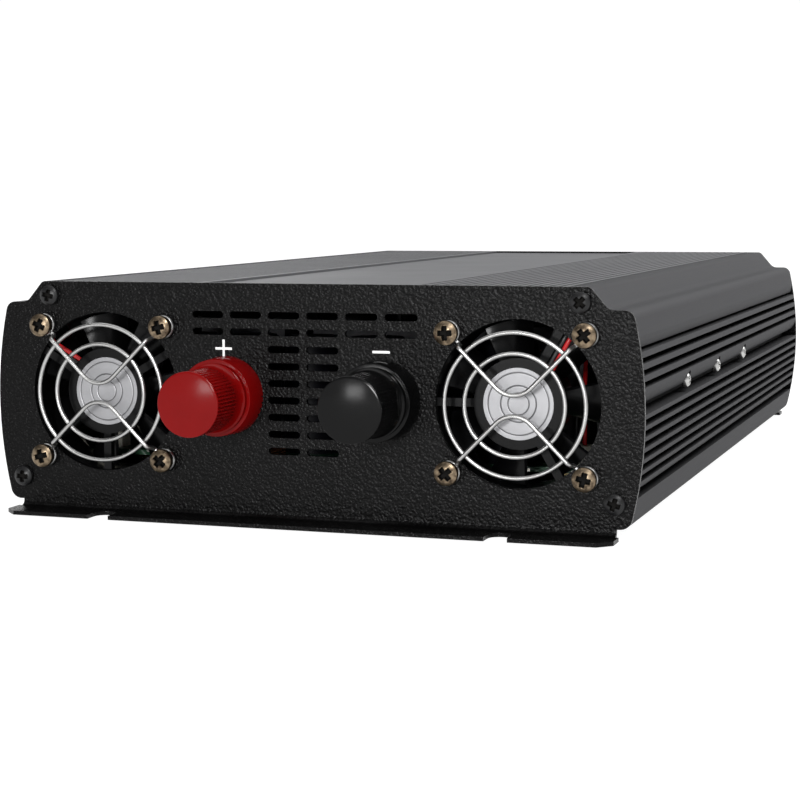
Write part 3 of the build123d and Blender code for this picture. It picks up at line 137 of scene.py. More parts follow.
class Graph:
    """Node graph of a material or of the surroundings."""

    def __init__(self, tree: NodeTree) -> None:
        """Empty a node tree to build in."""
        self.tree = tree
        self.tree.nodes.clear()

    def node(
        self,
        kind: str,
        settings: dict[str, object] | None = None,
        inputs: dict[str | int, object] | None = None,
    ) -> Node:
        """Add any node.

        Args:
            kind: Blender's name of the node type, after ShaderNode.
            settings: Properties that are set first.
            inputs: Values, signals or sockets by input name or index.

        Returns:
            The new node.
        """
        made = self.tree.nodes.new(f"ShaderNode{kind}")
        for key, value in (settings or {}).items():
            setattr(made, key, value)
        for key, value in (inputs or {}).items():
            self.feed(made.inputs[key], value)
        return made

    def feed(self, socket: NodeSocket, value: object) -> None:
        """Link a signal or socket to an input, or set its value."""
        if isinstance(value, Signal):
            value = value.socket
        if isinstance(value, NodeSocket):
            self.tree.links.new(value, socket)
        elif isinstance(value, tuple) and socket.type == "RGBA":
            socket.default_value = (*value, 1.0)
        else:
            socket.default_value = value

    def math(self, operation: str, *values: Signal | float) -> Signal:
        """One Math node."""
        made = self.node("Math", {"operation": operation}, dict(enumerate(values)))
        return Signal(self, made.outputs[0])

    def place(self, stretch: Triple = (1.0, 1.0, 1.0)) -> NodeSocket:
        """Position on the piece in millimetres, stretched along each axis."""
        where = self.node("TexCoord")
        factors = tuple(s / MM for s in stretch)
        scaled = self.node("VectorMath", {"operation": "MULTIPLY"}, {0: where.outputs["Object"], 1: factors})
        return scaled.outputs[0]

    def along(self, axis: str) -> Signal:
        """One coordinate of the position, in millimetres."""
        split = self.node("SeparateXYZ", inputs={0: self.place()})
        return Signal(self, split.outputs[axis])

    def noise(self, where: NodeSocket, scale: float, detail: float = 2.0) -> Signal:
        """Cloudy noise, about 0.5, with a scale in features per millimetre."""
        inputs = {"Vector": where, "Scale": scale, "Detail": detail, "Roughness": 0.55}
        return Signal(self, self.node("TexNoise", inputs=inputs).outputs[0])

    def cells(self, where: NodeSocket, scale: float, feature: str = "F1") -> Signal:
        """Distances in a cellular pattern, with a scale in cells per millimetre."""
        made = self.node("TexVoronoi", {"feature": feature}, {"Vector": where, "Scale": scale})
        return Signal(self, made.outputs["Distance"])

    def blend(self, factor: Signal, first: Tone, second: Tone) -> NodeSocket:
        """Colour between two others."""
        made = self.node(
            "Mix",
            {"data_type": "RGBA"},
            {"Factor": factor, FIRST_COLOUR: first, SECOND_COLOUR: second},
        )
        return made.outputs[MIXED_COLOUR]

    def vary(self, factor: Signal, colour: Colour, dark: float, light: float = 1.0) -> NodeSocket:
        """Colour that runs from a darker share of itself to a lighter one."""
        low, high = (tuple(min(part * share, 1.0) for part in colour) for share in (dark, light))
        return self.blend(factor, low, high)

    def openness(self, reach: float) -> Signal:
        """Share of the space in front of a point that is open, within a reach in millimetres."""
        made = self.node("AmbientOcclusion", {"samples": 8}, {"Distance": reach * MM})
        return Signal(self, made.outputs["AO"])

    def relief(self, height: Signal, depth: float) -> NodeSocket:
        """Bumped normal from a height of 0 to 1 that stands for a depth in millimetres."""
        made = self.node("Bump", inputs={"Strength": 1.0, "Distance": depth * MM, "Height": height})
        return made.outputs[0]


class SurfaceGraph(Graph):
    """Node graph that ends in a Principled shader."""

    def __init__(self, name: str) -> None:
        """Start a material with its shader and output.

        Args:
            name: Name of the material.
        """
        self.material = bpy.data.materials.new(name)
        self.material.use_nodes = True
        super().__init__(self.material.node_tree)
        self.shader = self.node("BsdfPrincipled")
        self.node("OutputMaterial", inputs={"Surface": self.shader.outputs["BSDF"]})

    def surface(self, **inputs: object) -> Material:
        """Set the shader's inputs by their names with spaces as underscores.

        Returns:
            The finished material.
        """
        for key, value in inputs.items():
            self.feed(self.shader.inputs[key.replace("_", " ")], value)
        return self.material


# ---- finishes


@dataclass(frozen=True)
class PowderCoat:
    """Baked powder coat with a pebbled, leather-like grain."""

    colour: Colour = (0.0024, 0.0023, 0.0024)
    grain: float = 1.35
    depth: float = 0.3
    gloss: float = 0.09

    def build(self, name: str) -> Material:
        """Make the material under a name."""
        graph = SurfaceGraph(name)
        where = graph.place()
        drift = graph.noise(where, 0.02, detail=1.0)
        pebbles = graph.cells(where, self.grain, "SMOOTH_F1")
        wrinkles = graph.noise(where, self.grain * 1.3, detail=3.0)
        height = (1 - pebbles) * 0.6 + wrinkles * 0.4
        # Painted shade and highlight: the colour is darker in the dips of the grain and lighter on its
        # crests.
        tone = graph.vary(height.above(0.4, 0.4), self.colour, dark=0.7, light=1.4)
        return graph.surface(
            Base_Color=tone,
            Roughness=drift * 0.06 + wrinkles * 0.06 + 0.19,
            Specular_IOR_Level=self.gloss,
            Normal=graph.relief(height, self.depth),
        )


@dataclass(frozen=True)
class Anodised:
    """Satin anodised extrusion with faint draw lines, and painted shade darkening its grooves and the parts
    close to other surfaces.
    """

    colour: Colour
    sheen: float
    metal: float
    gloss: float
    # Painted shade: its colour, and the reach in millimetres within which nearby surfaces darken the
    # extrusion.
    painted_shade: Colour = (0.0006, 0.0006, 0.0007)
    reach: float = 7.0

    def build(self, name: str) -> Material:
        """Make the material under a name."""
        graph = SurfaceGraph(name)
        lines = graph.noise(graph.place((6.0, 0.03, 6.0)), 1.0, detail=3.0)
        grain = graph.noise(graph.place(), 9.0)
        clouds = graph.noise(graph.place(), 0.03)
        drawn = clouds * 0.6 + lines * 0.4
        open_tone = graph.vary(drawn, self.colour, dark=0.9, light=1.12)
        # Painted shade: the colour darkens to the shade colour in grooves and near the floor and other
        # parts, where ambient occlusion finds little open space.
        tone = graph.blend(graph.openness(self.reach).above(0.15, 0.6), self.painted_shade, open_tone)
        return graph.surface(
            Base_Color=tone,
            Metallic=self.metal,
            Specular_IOR_Level=self.gloss,
            Roughness=lines * 0.1 + clouds * 0.08 + self.sheen,
            Normal=graph.relief(lines * 0.6 + grain * 0.4, 0.012),
        )


@dataclass(frozen=True)
class Moulding:
    """Injection-moulded plastic with a faint orange peel."""

    colour: Colour
    roughness: float = 0.22
    peel: float = 0.02
    coat: float = 0.0
    texture: float = 1.2
    gloss: float = 0.5

    def build(self, name: str) -> Material:
        """Make the material under a name."""
        graph = SurfaceGraph(name)
        where = graph.place()
        peel = graph.noise(where, self.texture, detail=3.0)
        clouds = graph.noise(where, 0.12)
        tone = graph.vary(clouds, self.colour, dark=0.9, light=1.12)
        return graph.surface(
            Base_Color=tone,
            Roughness=clouds * 0.08 + peel * 0.05 + self.roughness - 0.06,
            Coat_Weight=self.coat,
            Specular_IOR_Level=self.gloss,
            Normal=graph.relief(peel, self.peel),
        )


@dataclass(frozen=True)
class Plating:
    """Plated or bare metal with tarnish in patches and fine scratches."""

    colour: Colour
    tarnish: Colour
    roughness: float = 0.28
    patch: float = 0.9
    wear: float = 0.5

    def build(self, name: str) -> Material:
        """Make the material under a name."""
        graph = SurfaceGraph(name)
        where = graph.place()
        patches = graph.noise(where, self.patch, detail=4.0).above(0.38, 0.3)
        scratches = graph.noise(graph.place((1.0, 1.0, 14.0)), 2.2)
        grit = graph.noise(where, 9.0)
        tone = graph.blend(patches * self.wear, self.colour, self.tarnish)
        return graph.surface(
            Base_Color=tone,
            Metallic=1.0,
            Roughness=patches * 0.16 + scratches * 0.1 + self.roughness - 0.05,
            Normal=graph.relief(scratches * 0.5 + grit * 0.5, 0.008),
        )


@dataclass(frozen=True)
class Foil:
    """Pressed foil disc, brushed across."""

    colour: Colour = (0.3, 0.3, 0.31)

    def build(self, name: str) -> Material:
        """Make the material under a name."""
        graph = SurfaceGraph(name)
        brushed = graph.noise(graph.place((0.5, 1.0, 12.0)), 1.4, detail=3.0)
        dents = graph.noise(graph.place(), 0.35)
        tone = graph.vary(dents, self.colour, dark=0.86)
        return graph.surface(
            Base_Color=tone,
            Metallic=0.75,
            Roughness=brushed * 0.14 + dents * 0.1 + 0.3,
            Normal=graph.relief(dents * 0.7 + brushed * 0.3, 0.05),
        )


@dataclass(frozen=True)
class Wound:
    """Turns of enamelled wire, wound round an upright or flat core."""

    colour: Colour
    pitch: float = 0.9

    def build(self, name: str) -> Material:
        """Make the material under a name."""
        graph = SurfaceGraph(name)
        turns = (graph.along("Z") * (math.tau / self.pitch)).wave() * 0.5 + 0.5
        clouds = graph.noise(graph.place(), 0.4)
        # Painted shade: the colour is darker in the dips between the turns, where the relief is low.
        tone = graph.vary(turns * 0.7 + clouds * 0.3, self.colour, dark=0.35)
        return graph.surface(
            Base_Color=tone,
            Metallic=0.6,
            Roughness=clouds * 0.15 + 0.25,
            Normal=graph.relief(turns, 0.25),
        )


@dataclass(frozen=True)
class CircuitBoard:
    """Solder mask over tracks and pads."""

    mask: Colour = (0.003, 0.03, 0.012)
    track: Colour = (0.008, 0.055, 0.022)
    tin: Colour = (0.62, 0.6, 0.55)

    def build(self, name: str) -> Material:
        """Make the material under a name."""
        graph = SurfaceGraph(name)
        where = graph.place()
        tracks = graph.cells(where, 0.16, "DISTANCE_TO_EDGE").above(0.1, 0.03)
        pads = 1 - graph.cells(where, 0.3).above(0.16, 0.03)
        tone = graph.blend(tracks, self.mask, self.track)
        return graph.surface(
            Base_Color=graph.blend(pads, tone, self.tin),
            Metallic=pads * 0.9,
            Roughness=tracks * 0.1 + 0.28,
            Normal=graph.relief(tracks, 0.05),
        )


@dataclass(frozen=True)
class Paper:
    """Even pale backdrop of the studio floor."""

    colour: Colour = (0.12, 0.12, 0.12)
    glow: float = 0.97

    def build(self, name: str) -> Material:
        """Make the material under a name."""
        graph = SurfaceGraph(name)
        fibres = graph.noise(graph.place(), 0.2)
        return graph.surface(
            Base_Color=graph.vary(fibres, self.colour, dark=0.99),
            Roughness=0.9,
            Emission_Color=(1.0, 1.0, 1.0),
            Emission_Strength=self.glow,
        )


Finish = PowderCoat | Anodised | Moulding | Plating | Foil | Wound | CircuitBoard | Paper


FINISHES: dict[str, Finish] = {
    # Both anodised finishes paint shade into their grooves and near other surfaces.
    "anodised_side": Anodised((0.04, 0.04, 0.042), sheen=0.5, metal=0.0, gloss=0.02),
    "anodised_cover": Anodised((0.044, 0.045, 0.05), sheen=0.34, metal=0.3, gloss=0.5, reach=1.6),
    "powder_coat": PowderCoat(),
    "galvanised_sheet": Plating(
        (0.6, 0.61, 0.63), (0.42, 0.43, 0.45), roughness=0.38, patch=0.12, wear=0.8
    ),
    "black_steel": Moulding((0.007, 0.007, 0.0075), roughness=0.34, peel=0.03, texture=2.0, gloss=0.3),
    "bright_steel": Plating((0.5, 0.5, 0.495), (0.3, 0.295, 0.28), roughness=0.3, patch=0.7, wear=0.6),
    "bronzed_steel": Plating(
        (0.26, 0.2, 0.135), (0.05, 0.036, 0.025), roughness=0.3, patch=0.75, wear=0.95
    ),
    "dark_steel": Plating((0.14, 0.13, 0.12), (0.06, 0.055, 0.05), roughness=0.34, patch=0.8, wear=0.8),
    "guard_wire": Plating((0.42, 0.42, 0.415), (0.27, 0.265, 0.26), roughness=0.27, patch=0.25),
    "fan_plastic": Moulding((0.002, 0.002, 0.0022), peel=0.01, texture=0.8, gloss=0.14),
    "label_foil": Foil(),
    "label_ring": Foil((0.1, 0.1, 0.105)),
    "terminal_red": Moulding((0.15, 0.0016, 0.0017), roughness=0.13, peel=0.004, texture=0.7, gloss=0.12),
    "terminal_black": Moulding(
        (0.0022, 0.0022, 0.0023), roughness=0.13, peel=0.004, texture=0.7, gloss=0.14
    ),
    "brass": Plating((0.86, 0.66, 0.34), (0.55, 0.38, 0.18), roughness=0.25),
    "copper": Wound((0.4, 0.16, 0.07)),
    "insulator": Moulding((0.16, 0.035, 0.012), roughness=0.5, peel=0.03),
    "circuit_board": CircuitBoard(),
    "capacitor_sleeve": Moulding((0.004, 0.004, 0.006), roughness=0.4, gloss=0.1),
    "ferrite": Moulding((0.045, 0.045, 0.05), roughness=0.6, peel=0.08, texture=3.0),
    "transistor_body": Moulding((0.02, 0.02, 0.02), roughness=0.5, peel=0.04, texture=4.0),
    "fuse_plastic": Moulding((0.6, 0.28, 0.02), roughness=0.25),
    "lead_red": Moulding((0.42, 0.008, 0.01), roughness=0.35),
    "lead_black": Moulding((0.008, 0.008, 0.008), roughness=0.35),
    "connector_plastic": Moulding((0.75, 0.72, 0.62), roughness=0.4),
    "outlet_plastic": Moulding((0.02, 0.02, 0.021), roughness=0.36, peel=0.05, texture=3.5),
    "switch_plastic": Moulding((0.016, 0.016, 0.017), roughness=0.32, peel=0.03, texture=3.5),
    "rocker_plastic": Moulding((0.36, 0.006, 0.008), roughness=0.2, peel=0.012, coat=0.3),
    "lamp_lens": Moulding((0.08, 0.5, 0.1), roughness=0.12, peel=0.01, coat=0.5),
    # Painted shade for the deep faces of the screws' cross recesses.
    "recess_painted_shade": Moulding((0.004, 0.0035, 0.003), roughness=0.7, peel=0.05, texture=3.0, gloss=0.1),
    "polarity_paint": Moulding((0.86, 0.86, 0.86), roughness=0.5, peel=0.03, texture=3.0),
}


@cache
def material(slot: str) -> Material:
    """Material of a slot, built on first use."""
    return FINISHES[slot].build(slot)


# ---- mesh work


def seat(place: Sequence[float], facing: Facing) -> Matrix:
    """Local frame in millimetres: x across, y up and z outward.

    Args:
        place: Centre of the seat in metres.
        facing: Direction that the seat faces.

    Returns:
        A matrix from local millimetres to the object's metres.
    """
    outward = facing.value
    across = UP.cross(outward)
    turn = Matrix((across, UP, outward)).transposed().to_4x4()
    return Matrix.Translation(place) @ turn @ Matrix.Scale(MM, 4)


def ring(radius: Callable[[float], float], height: float, count: int) -> Ring:
    """Closed ring about the local axis, with a radius for each angle."""
    angles = (math.tau * i / count for i in range(count))
    return [Vector((radius(a) * math.cos(a), radius(a) * math.sin(a), height)) for a in angles]


def back_seat(low: Vector, high: Vector) -> Matrix:
    """Seat in the middle of the inner face of a box, facing the front."""
    centre = (low + high) / 2
    return seat((centre.x, high.y, centre.z), Facing.FRONT)


def circle(radius: float, height: float, count: int) -> Ring:
    """Points of a circle about the local axis."""
    return ring(lambda _: radius, height, count)


def arc(centre: Pair, radius: float, start: float, end: float, steps: int) -> list[Pair]:
    """Points on an arc of a flat profile, its angles in degrees."""
    angles = (math.radians(start + (end - start) * i / steps) for i in range(steps + 1))
    return [(centre[0] + radius * math.cos(a), centre[1] + radius * math.sin(a)) for a in angles]


def linked(name: str, data: ID) -> Object:
    """New object in the scene."""
    made = bpy.data.objects.new(name, data)
    bpy.context.scene.collection.objects.link(made)
    return made


class Piece:
    """One visible mesh, gathered ring by ring."""

    def __init__(self, name: str) -> None:
        """Start an empty mesh with the name of the piece."""
        self.name = name
        self.mesh = bmesh.new()

    def loft(self, rings: Iterable[Ring], place: Matrix, wrap: bool = False, caps: bool = False) -> None:
        """Join rings of equal counts with quads.

        Args:
            rings: Rings in order.
            place: Matrix from the rings' space to the object's.
            wrap: Whether the last ring joins the first.
            caps: Whether the first and last rings are closed with a face.
        """
        rows = [[self.mesh.verts.new(place @ point) for point in ring] for ring in rings]
        pairs = list(zip(rows, rows[1:]))
        if wrap:
            pairs.append((rows[-1], rows[0]))
        for low, high in pairs:
            for i in range(len(low)):
                j = (i + 1) % len(low)
                self.mesh.faces.new((low[i], low[j], high[j], high[i]))
        if caps:
            self.mesh.faces.new(reversed(rows[0]))
            self.mesh.faces.new(rows[-1])

    def lathe(self, profile: Sequence[Pair], place: Matrix, count: int) -> None:
        """Turn a profile of radii and heights about the local axis."""
        self.loft([circle(radius, height, count) for radius, height in profile], place, caps=True)

    def wire(self, path: Sequence[Vector], radius: float, place: Matrix, closed: bool = False) -> None:
        """Sweep a round section along a path without twisting it.

        Args:
            path: Points along the middle of the wire.
            radius: Radius of the wire in the path's units.
            place: Matrix from the path's space to the object's.
            closed: Whether the wire joins its own start.
        """
        count = len(path)
        rings: list[Ring] = []
        normal: Vector | None = None
        for i, point in enumerate(path):
            after = path[(i + 1) % count] if closed or i < count - 1 else point
            before = path[i - 1] if closed or i else point
            along = (after - before).normalized()
            if normal is None:
                normal = along.orthogonal().normalized()
            normal = (normal - along * normal.dot(along)).normalized()
            side = along.cross(normal)
            turns = (math.tau * k / WIRE_SIDES for k in range(WIRE_SIDES))
            rings.append([point + (normal * math.cos(a) + side * math.sin(a)) * radius for a in turns])
        self.loft(rings, place, wrap=closed, caps=not closed)

    def plate(self, outline: Sequence[Pair], low: float, high: float, place: Matrix) -> None:
        """Flat plate between two heights, with the given outline."""
        self.loft([[Vector((x, y, z)) for x, y in outline] for z in (low, high)], place, caps=True)

    def mark(self, first: int, place: Matrix, inside: Callable[[Vector], bool]) -> None:
        """Give the second finish to the faces whose middles pass a test.

        Args:
            first: Number of the first face to look at.
            place: Matrix from the test's space to the object's.
            inside: Test of a face's middle, in its own space.
        """
        back = place.inverted()
        self.mesh.faces.ensure_lookup_table()
        for face in self.mesh.faces[first:]:
            if inside(back @ face.calc_center_median()):
                face.material_index = 1

    def finish(self, materials: Iterable[Material]) -> Object:
        """Turn the gathered mesh into an object with these materials."""
        data = bpy.data.meshes.new(self.name)
        self.mesh.to_mesh(data)
        self.mesh.free()
        for coat in materials:
            data.materials.append(coat)
        return linked(self.name, data)

    def dress(
        self,
        slot: str,
        body: str,
        replaced: Sequence[str] = (),
        sharp: float = 40.0,
        extra: Sequence[str] = (),
    ) -> None:
        """Turn the gathered mesh into a finished piece.

        Args:
            slot: Material slot whose finish the piece takes.
            body: Body that the piece rides on.
            replaced: CAD nodes that the piece stands for.
            sharp: Angle in degrees above which an edge stays sharp.
            extra: Finishes of the faces marked with a higher index.
        """
        bmesh.ops.recalc_face_normals(self.mesh, faces=self.mesh.faces)
        for edge in self.mesh.edges:
            edge.smooth = not edge.is_manifold or edge.calc_face_angle(0.0) < math.radians(sharp)
        for face in self.mesh.faces:
            face.smooth = True
        made = self.finish([material(finish) for finish in (slot, *extra)])
        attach(made, body)
        if replaced:
            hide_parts(*replaced)
        log.info("%s: %d faces on %s", self.name, len(made.data.polygons), body)


def smooth_path(corners: Sequence[Vector], radii: Sequence[float]) -> list[Vector]:
    """Straight runs joined by tangent arcs.

    Args:
        corners: Corner points of the path.
        radii: Bend radius at each inner corner.

    Returns:
        The points of the rounded path.
    """
    path = [corners[0]]
    for before, corner, after, radius in zip(corners, corners[1:], corners[2:], radii):
        back = (before - corner).normalized()
        ahead = (after - corner).normalized()
        half = back.angle(ahead) / 2
        reach = radius / math.tan(half)
        centre = corner + (back + ahead).normalized() * (radius / math.sin(half))
        start = corner + back * reach - centre
        end = corner + ahead * reach - centre
        sweep = start.angle(end)
        for i in range(BEND_STEPS + 1):
            ahead_share = math.sin(i / BEND_STEPS * sweep) / math.sin(sweep)
            back_share = math.sin((1 - i / BEND_STEPS) * sweep) / math.sin(sweep)
            path.append(centre + start * back_share + end * ahead_share)
    path.append(corners[-1])
    return path


def solids(node: str) -> list[tuple[Vector, Vector]]:
    """Boxes of the separate solids of a CAD node.

    Args:
        node: Name of the CAD node.

    Returns:
        Lowest and highest corner of each solid, in metres, from left to right.
    """
    data = frame["nodes"][node].data
    keys = [tuple(round(c * 1e6) for c in vertex.co) for vertex in data.vertices]
    owner = {key: key for key in keys}

    def root(key: tuple[int, ...]) -> tuple[int, ...]:
        """First point of the solid that a point is in."""
        while owner[key] != key:
            owner[key] = owner[owner[key]]
            key = owner[key]
        return key

    for edge in data.edges:
        first, second = (root(keys[i]) for i in edge.vertices)
        owner[first] = second
    boxes: dict[tuple[int, ...], tuple[Vector, Vector]] = {}
    for key, vertex in zip(keys, data.vertices):
        low, high = boxes.setdefault(root(key), (vertex.co.copy(), vertex.co.copy()))
        for axis in range(3):
            low[axis] = min(low[axis], vertex.co[axis])
            high[axis] = max(high[axis], vertex.co[axis])
    return sorted(boxes.values(), key=lambda pair: (round(pair[0].x, 4), round(pair[0].z, 4), pair[0].y))


# ---- screws


@dataclass
class PanHead:
    """Cross-recessed pan-head screw, in millimetres, its seat at height 0."""

    head_radius: float
    head_height: float
    shank_radius: float
    length: float
    pitch: float = 0.7
    edge: float = 0.35
    thread_depth: float = 0.28
    crest_end: float = 0.35
    root: float = 0.7
    rim_share: float = 0.8
    crown_inset: float = 0.3
    crown_drop: float = 0.42
    crown_power: float = 2.6
    arm_length: float = 0.62
    arm_width: float = 0.17
    arm_wall: float = 0.06
    arm_end: float = 2.5
    recess: float = 0.8
    recess_floor: float = 0.62
    recess_rim: float = 0.2
    rings: int = 30
    sides: int = 112

    def dome(self, radius: float) -> float:
        """Height of the head at a radius."""
        share = min(radius / self.head_radius, 1.0)
        return self.head_height * (1 - self.crown_drop * share**self.crown_power)

    def cut(self, x: float, y: float) -> float:
        """Depth of the cross recess at a point."""
        half = self.arm_width * self.head_radius
        reach = self.arm_length * self.head_radius
        wall = self.arm_wall * self.head_radius

        def arm(along: float, across: float) -> float:
            """Depth share of one arm, with sloping walls."""
            side = (half + wall - abs(across)) / wall
            end = (reach - abs(along)) / (wall * self.arm_end)
            return max(0.0, min(side, end, 1.0))

        cone = max(0.0, 1 - math.hypot(x, y) / reach)
        depth = max(arm(x, y), arm(y, x)) * (self.recess_floor + (1 - self.recess_floor) * cone)
        return self.head_height * self.recess * depth

    def shank(self) -> list[Pair]:
        """Radii and heights of the threaded shank, from its end to the seat."""
        core = self.shank_radius - self.thread_depth * self.pitch
        profile = [(self.shank_radius, -self.length)]
        for i in range(int(self.length / self.pitch)):
            low = -self.length + self.pitch * i
            profile.append((self.shank_radius, low + self.pitch * self.crest_end))
            profile.append((core, low + self.pitch * self.root))
        return [*profile, (self.shank_radius, 0.0)]

    def add_to(self, piece: Piece, place: Matrix, turn: float) -> None:
        """Add one screw to a piece.

        Args:
            piece: Piece that gathers the screws.
            place: Seat of the screw, its z outward.
            turn: Angle of the cross recess in degrees.
        """
        spun = place @ Matrix.Rotation(math.radians(turn), 4, "Z")
        bevel = self.edge / 2
        rim = [
            (self.head_radius - bevel, 0.0),
            (self.head_radius, bevel),
            (self.head_radius, self.dome(self.head_radius) * self.rim_share),
        ]
        rows = [circle(radius, height, self.sides) for radius, height in [*self.shank(), *rim]]
        crown = self.head_radius - self.edge * self.crown_inset
        for i in range(self.rings):
            radius = crown * (1 - i / self.rings)
            row = circle(radius, 0.0, self.sides)
            for point in row:
                point.z = self.dome(radius) - self.cut(point.x, point.y)
            rows.append(row)
        # Faces deeper in the cross recess than this get the second finish, a painted shade.
        shallow = self.head_height * self.recess * self.recess_rim
        first = len(piece.mesh.faces)
        piece.loft(rows, spun, caps=True)
        piece.mark(first, spun, lambda spot: spot.z > 0.0 and self.cut(spot.x, spot.y) > shallow)


@dataclass
class ScrewSet:
    """Equal screws of one CAD node, facing along the case or sideways, each turned its own way."""

    node: str
    head: PanHead
    slot: str
    sideways: bool = False
    twist: Triple = (0.9, 0.37, 1.3)
    twist_start: float = 34.0

    def facing(self, centre: Vector) -> Facing:
        """Direction that the screw at a centre faces."""
        if self.sideways:
            return Facing.RIGHT if centre.x > 0 else Facing.LEFT
        return Facing.FRONT if centre.y < 0 else Facing.REAR

    def turn(self, centre: Vector) -> float:
        """Angle in degrees at which the screw at a centre was tightened."""
        return (centre.dot(Vector(self.twist)) / MM + self.twist_start) % 90.0

    def build(self) -> None:
        """Build all the screws as one piece."""
        piece = Piece(f"{self.node}_dressed")
        for low, high in solids(self.node):
            centre = (low + high) / 2
            facing = self.facing(centre)
            outward = facing.value
            reach = abs((high - low).dot(outward)) / 2
            seat_point = centre + outward * (reach - self.head.head_height * MM)
            self.head.add_to(piece, seat(seat_point, facing), self.turn(centre))
        # The second finish paints shade into the cross recesses.
        piece.dress(self.slot, "case", [self.node], 32.0, ["recess_painted_shade"])


@dataclass
class Band:
    """Plain band round a stud, its depths counted from the free end."""

    start: float
    end: float
    radius: float


@dataclass
class ThreadedStud:
    """Stud with a rolled thread and one plain band, in millimetres."""

    node: str
    facing: Facing
    radius: float
    pitch: float
    band: Band
    bevel: float = 0.7
    edge: float = 0.15
    thread_depth: float = 0.61
    crest: float = 0.12
    flank: float = 1.3
    steps: int = 8
    sides: int = 48

    def core(self) -> float:
        """Radius at the root of the thread."""
        return self.radius - self.thread_depth * self.pitch

    def thread(self, depth: float, length: float) -> Ring:
        """Ring of the helix at a depth, cut down by the bevels at both ends."""
        limit = self.radius - self.bevel + min(depth, length - depth)

        def radius(angle: float) -> float:
            """Radius of the helix at an angle."""
            turn = (depth / self.pitch - angle / math.tau) % 1.0
            ridge = min(1.0, max(0.0, self.flank * (1 - abs(2 * turn - 1)) - self.crest))
            return min(limit, self.core() + (self.radius - self.core()) * ridge)

        return ring(radius, -depth, self.sides)

    def rows(self, length: float) -> list[Ring]:
        """Rings from the free end inward: thread, plain band, thread."""
        count = int(length / self.pitch * self.steps)
        depths = [length * i / count for i in range(count + 1)]
        band, edge = self.band, self.edge
        outline = (
            (band.start, self.core()),
            (band.start, band.radius - edge),
            (band.start + edge, band.radius),
            (band.end - edge, band.radius),
            (band.end, band.radius - edge),
            (band.end, self.core()),
        )
        return [
            *(self.thread(depth, length) for depth in depths if depth < band.start),
            *(circle(radius, -depth, self.sides) for depth, radius in outline),
            *(self.thread(depth, length) for depth in depths if depth > band.end),
        ]

    def build(self) -> None:
        """Build the stud in the place of its CAD node."""
        low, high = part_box(self.node)
        outward = self.facing.value
        reach = abs((high - low).dot(outward)) / 2
        piece = Piece(f"{self.node}_threaded")
        place = seat((low + high) / 2 + outward * reach, self.facing)
        piece.loft(self.rows(2 * reach / MM), place, caps=True)
        piece.dress("brass", "case", [self.node], 42.0)


# ---- terminals


@dataclass
class ScrewCap:
    """Knurled cap of a battery terminal, heights from its foot in millimetres."""

    skirt_radius: float = 10.3
    skirt_height: float = 1.0
    throat_radius: float = 8.87
    knurl_radius: float = 9.4
    knurl_depth: float = 0.45
    knurl_start: float = 4.4
    knurl_lead: float = 0.05
    knurl_run_in: float = 0.5
    knurl_run_out: float = 0.25
    flare_step: float = 0.3
    flare_power: float = 1.9
    flare_rings: int = 12
    crown_rings: int = 17
    length: float = 18.7
    rim: float = 1.0
    rim_radius: float = 9.45
    crown: float = 0.5
    round_over: float = 0.35
    teeth: int = 56
    tooth_points: int = 8
    ridge_slope: float = 2.6
    ridge_power: float = 1.6
    washer_room: float = 8.4
    ceiling: float = 1.6
    insert_radius: float = 6.02
    edge: float = 0.12

    def ridge(self, angle: float) -> float:
        """Share of the knurl's depth cut away at an angle, with rounded ridges."""
        phase = (angle * self.teeth / math.tau) % 1.0
        return min(abs(phase - 0.5) * self.ridge_slope, 1.0) ** self.ridge_power

    def knurled(self, height: float, share: float, count: int) -> Ring:
        """Ring of the knurl at a height, its ridges raised to a share of their depth."""

        def radius(angle: float) -> float:
            """Radius of the knurl at an angle."""
            return self.knurl_radius - self.knurl_depth * (1 - share + share * self.ridge(angle))

        return ring(radius, height, count)

    def add_to(self, piece: Piece, place: Matrix) -> None:
        """Build the cap in a frame at its foot, z outward."""
        count = self.teeth * self.tooth_points
        teeth_top = self.length - self.rim
        lower = [circle(radius, height, count) for radius, height in self.skirt()]
        knurl = [
            self.knurled(self.knurl_start + self.knurl_lead, 0.0, count),
            self.knurled(self.knurl_start + self.knurl_run_in, 1.0, count),
            self.knurled(teeth_top - self.knurl_run_out, 1.0, count),
        ]
        upper = [circle(radius, height, count) for radius, height in self.top(teeth_top)]
        piece.loft([*lower, *knurl, *upper], place, caps=True)

    def skirt(self) -> list[Pair]:
        """Radii and heights from the hollow foot over the skirt to the knurl."""
        corner = (self.skirt_radius - self.edge, self.skirt_height - self.edge)
        profile = [
            (self.insert_radius, self.ceiling),
            (self.washer_room, self.ceiling),
            (self.washer_room, 0.0),
            (corner[0], 0.0),
            (self.skirt_radius, self.edge),
            *arc(corner, self.edge, start=0, end=80, steps=3),
        ]
        flare = self.skirt_radius - self.flare_step - self.throat_radius
        run = self.knurl_start - self.skirt_height
        for i in range(1, self.flare_rings + 1):
            share = i / self.flare_rings
            radius = self.throat_radius + flare * (1 - share) ** self.flare_power
            profile.append((radius, self.skirt_height + run * share))
        return profile

    def top(self, teeth_top: float) -> list[Pair]:
        """Radii and heights from the end of the teeth over the domed face."""
        inset = self.round_over
        middle = (self.rim_radius - inset, self.length - self.crown - inset)
        profile = [
            (self.rim_radius, teeth_top),
            *arc(middle, inset, start=0, end=78, steps=5),
        ]
        radius, height = profile[-1]
        for i in range(1, self.crown_rings):
            left = 1 - i / self.crown_rings
            profile.append((radius * left, height + (self.length - height) * (1 - left**2)))
        return profile


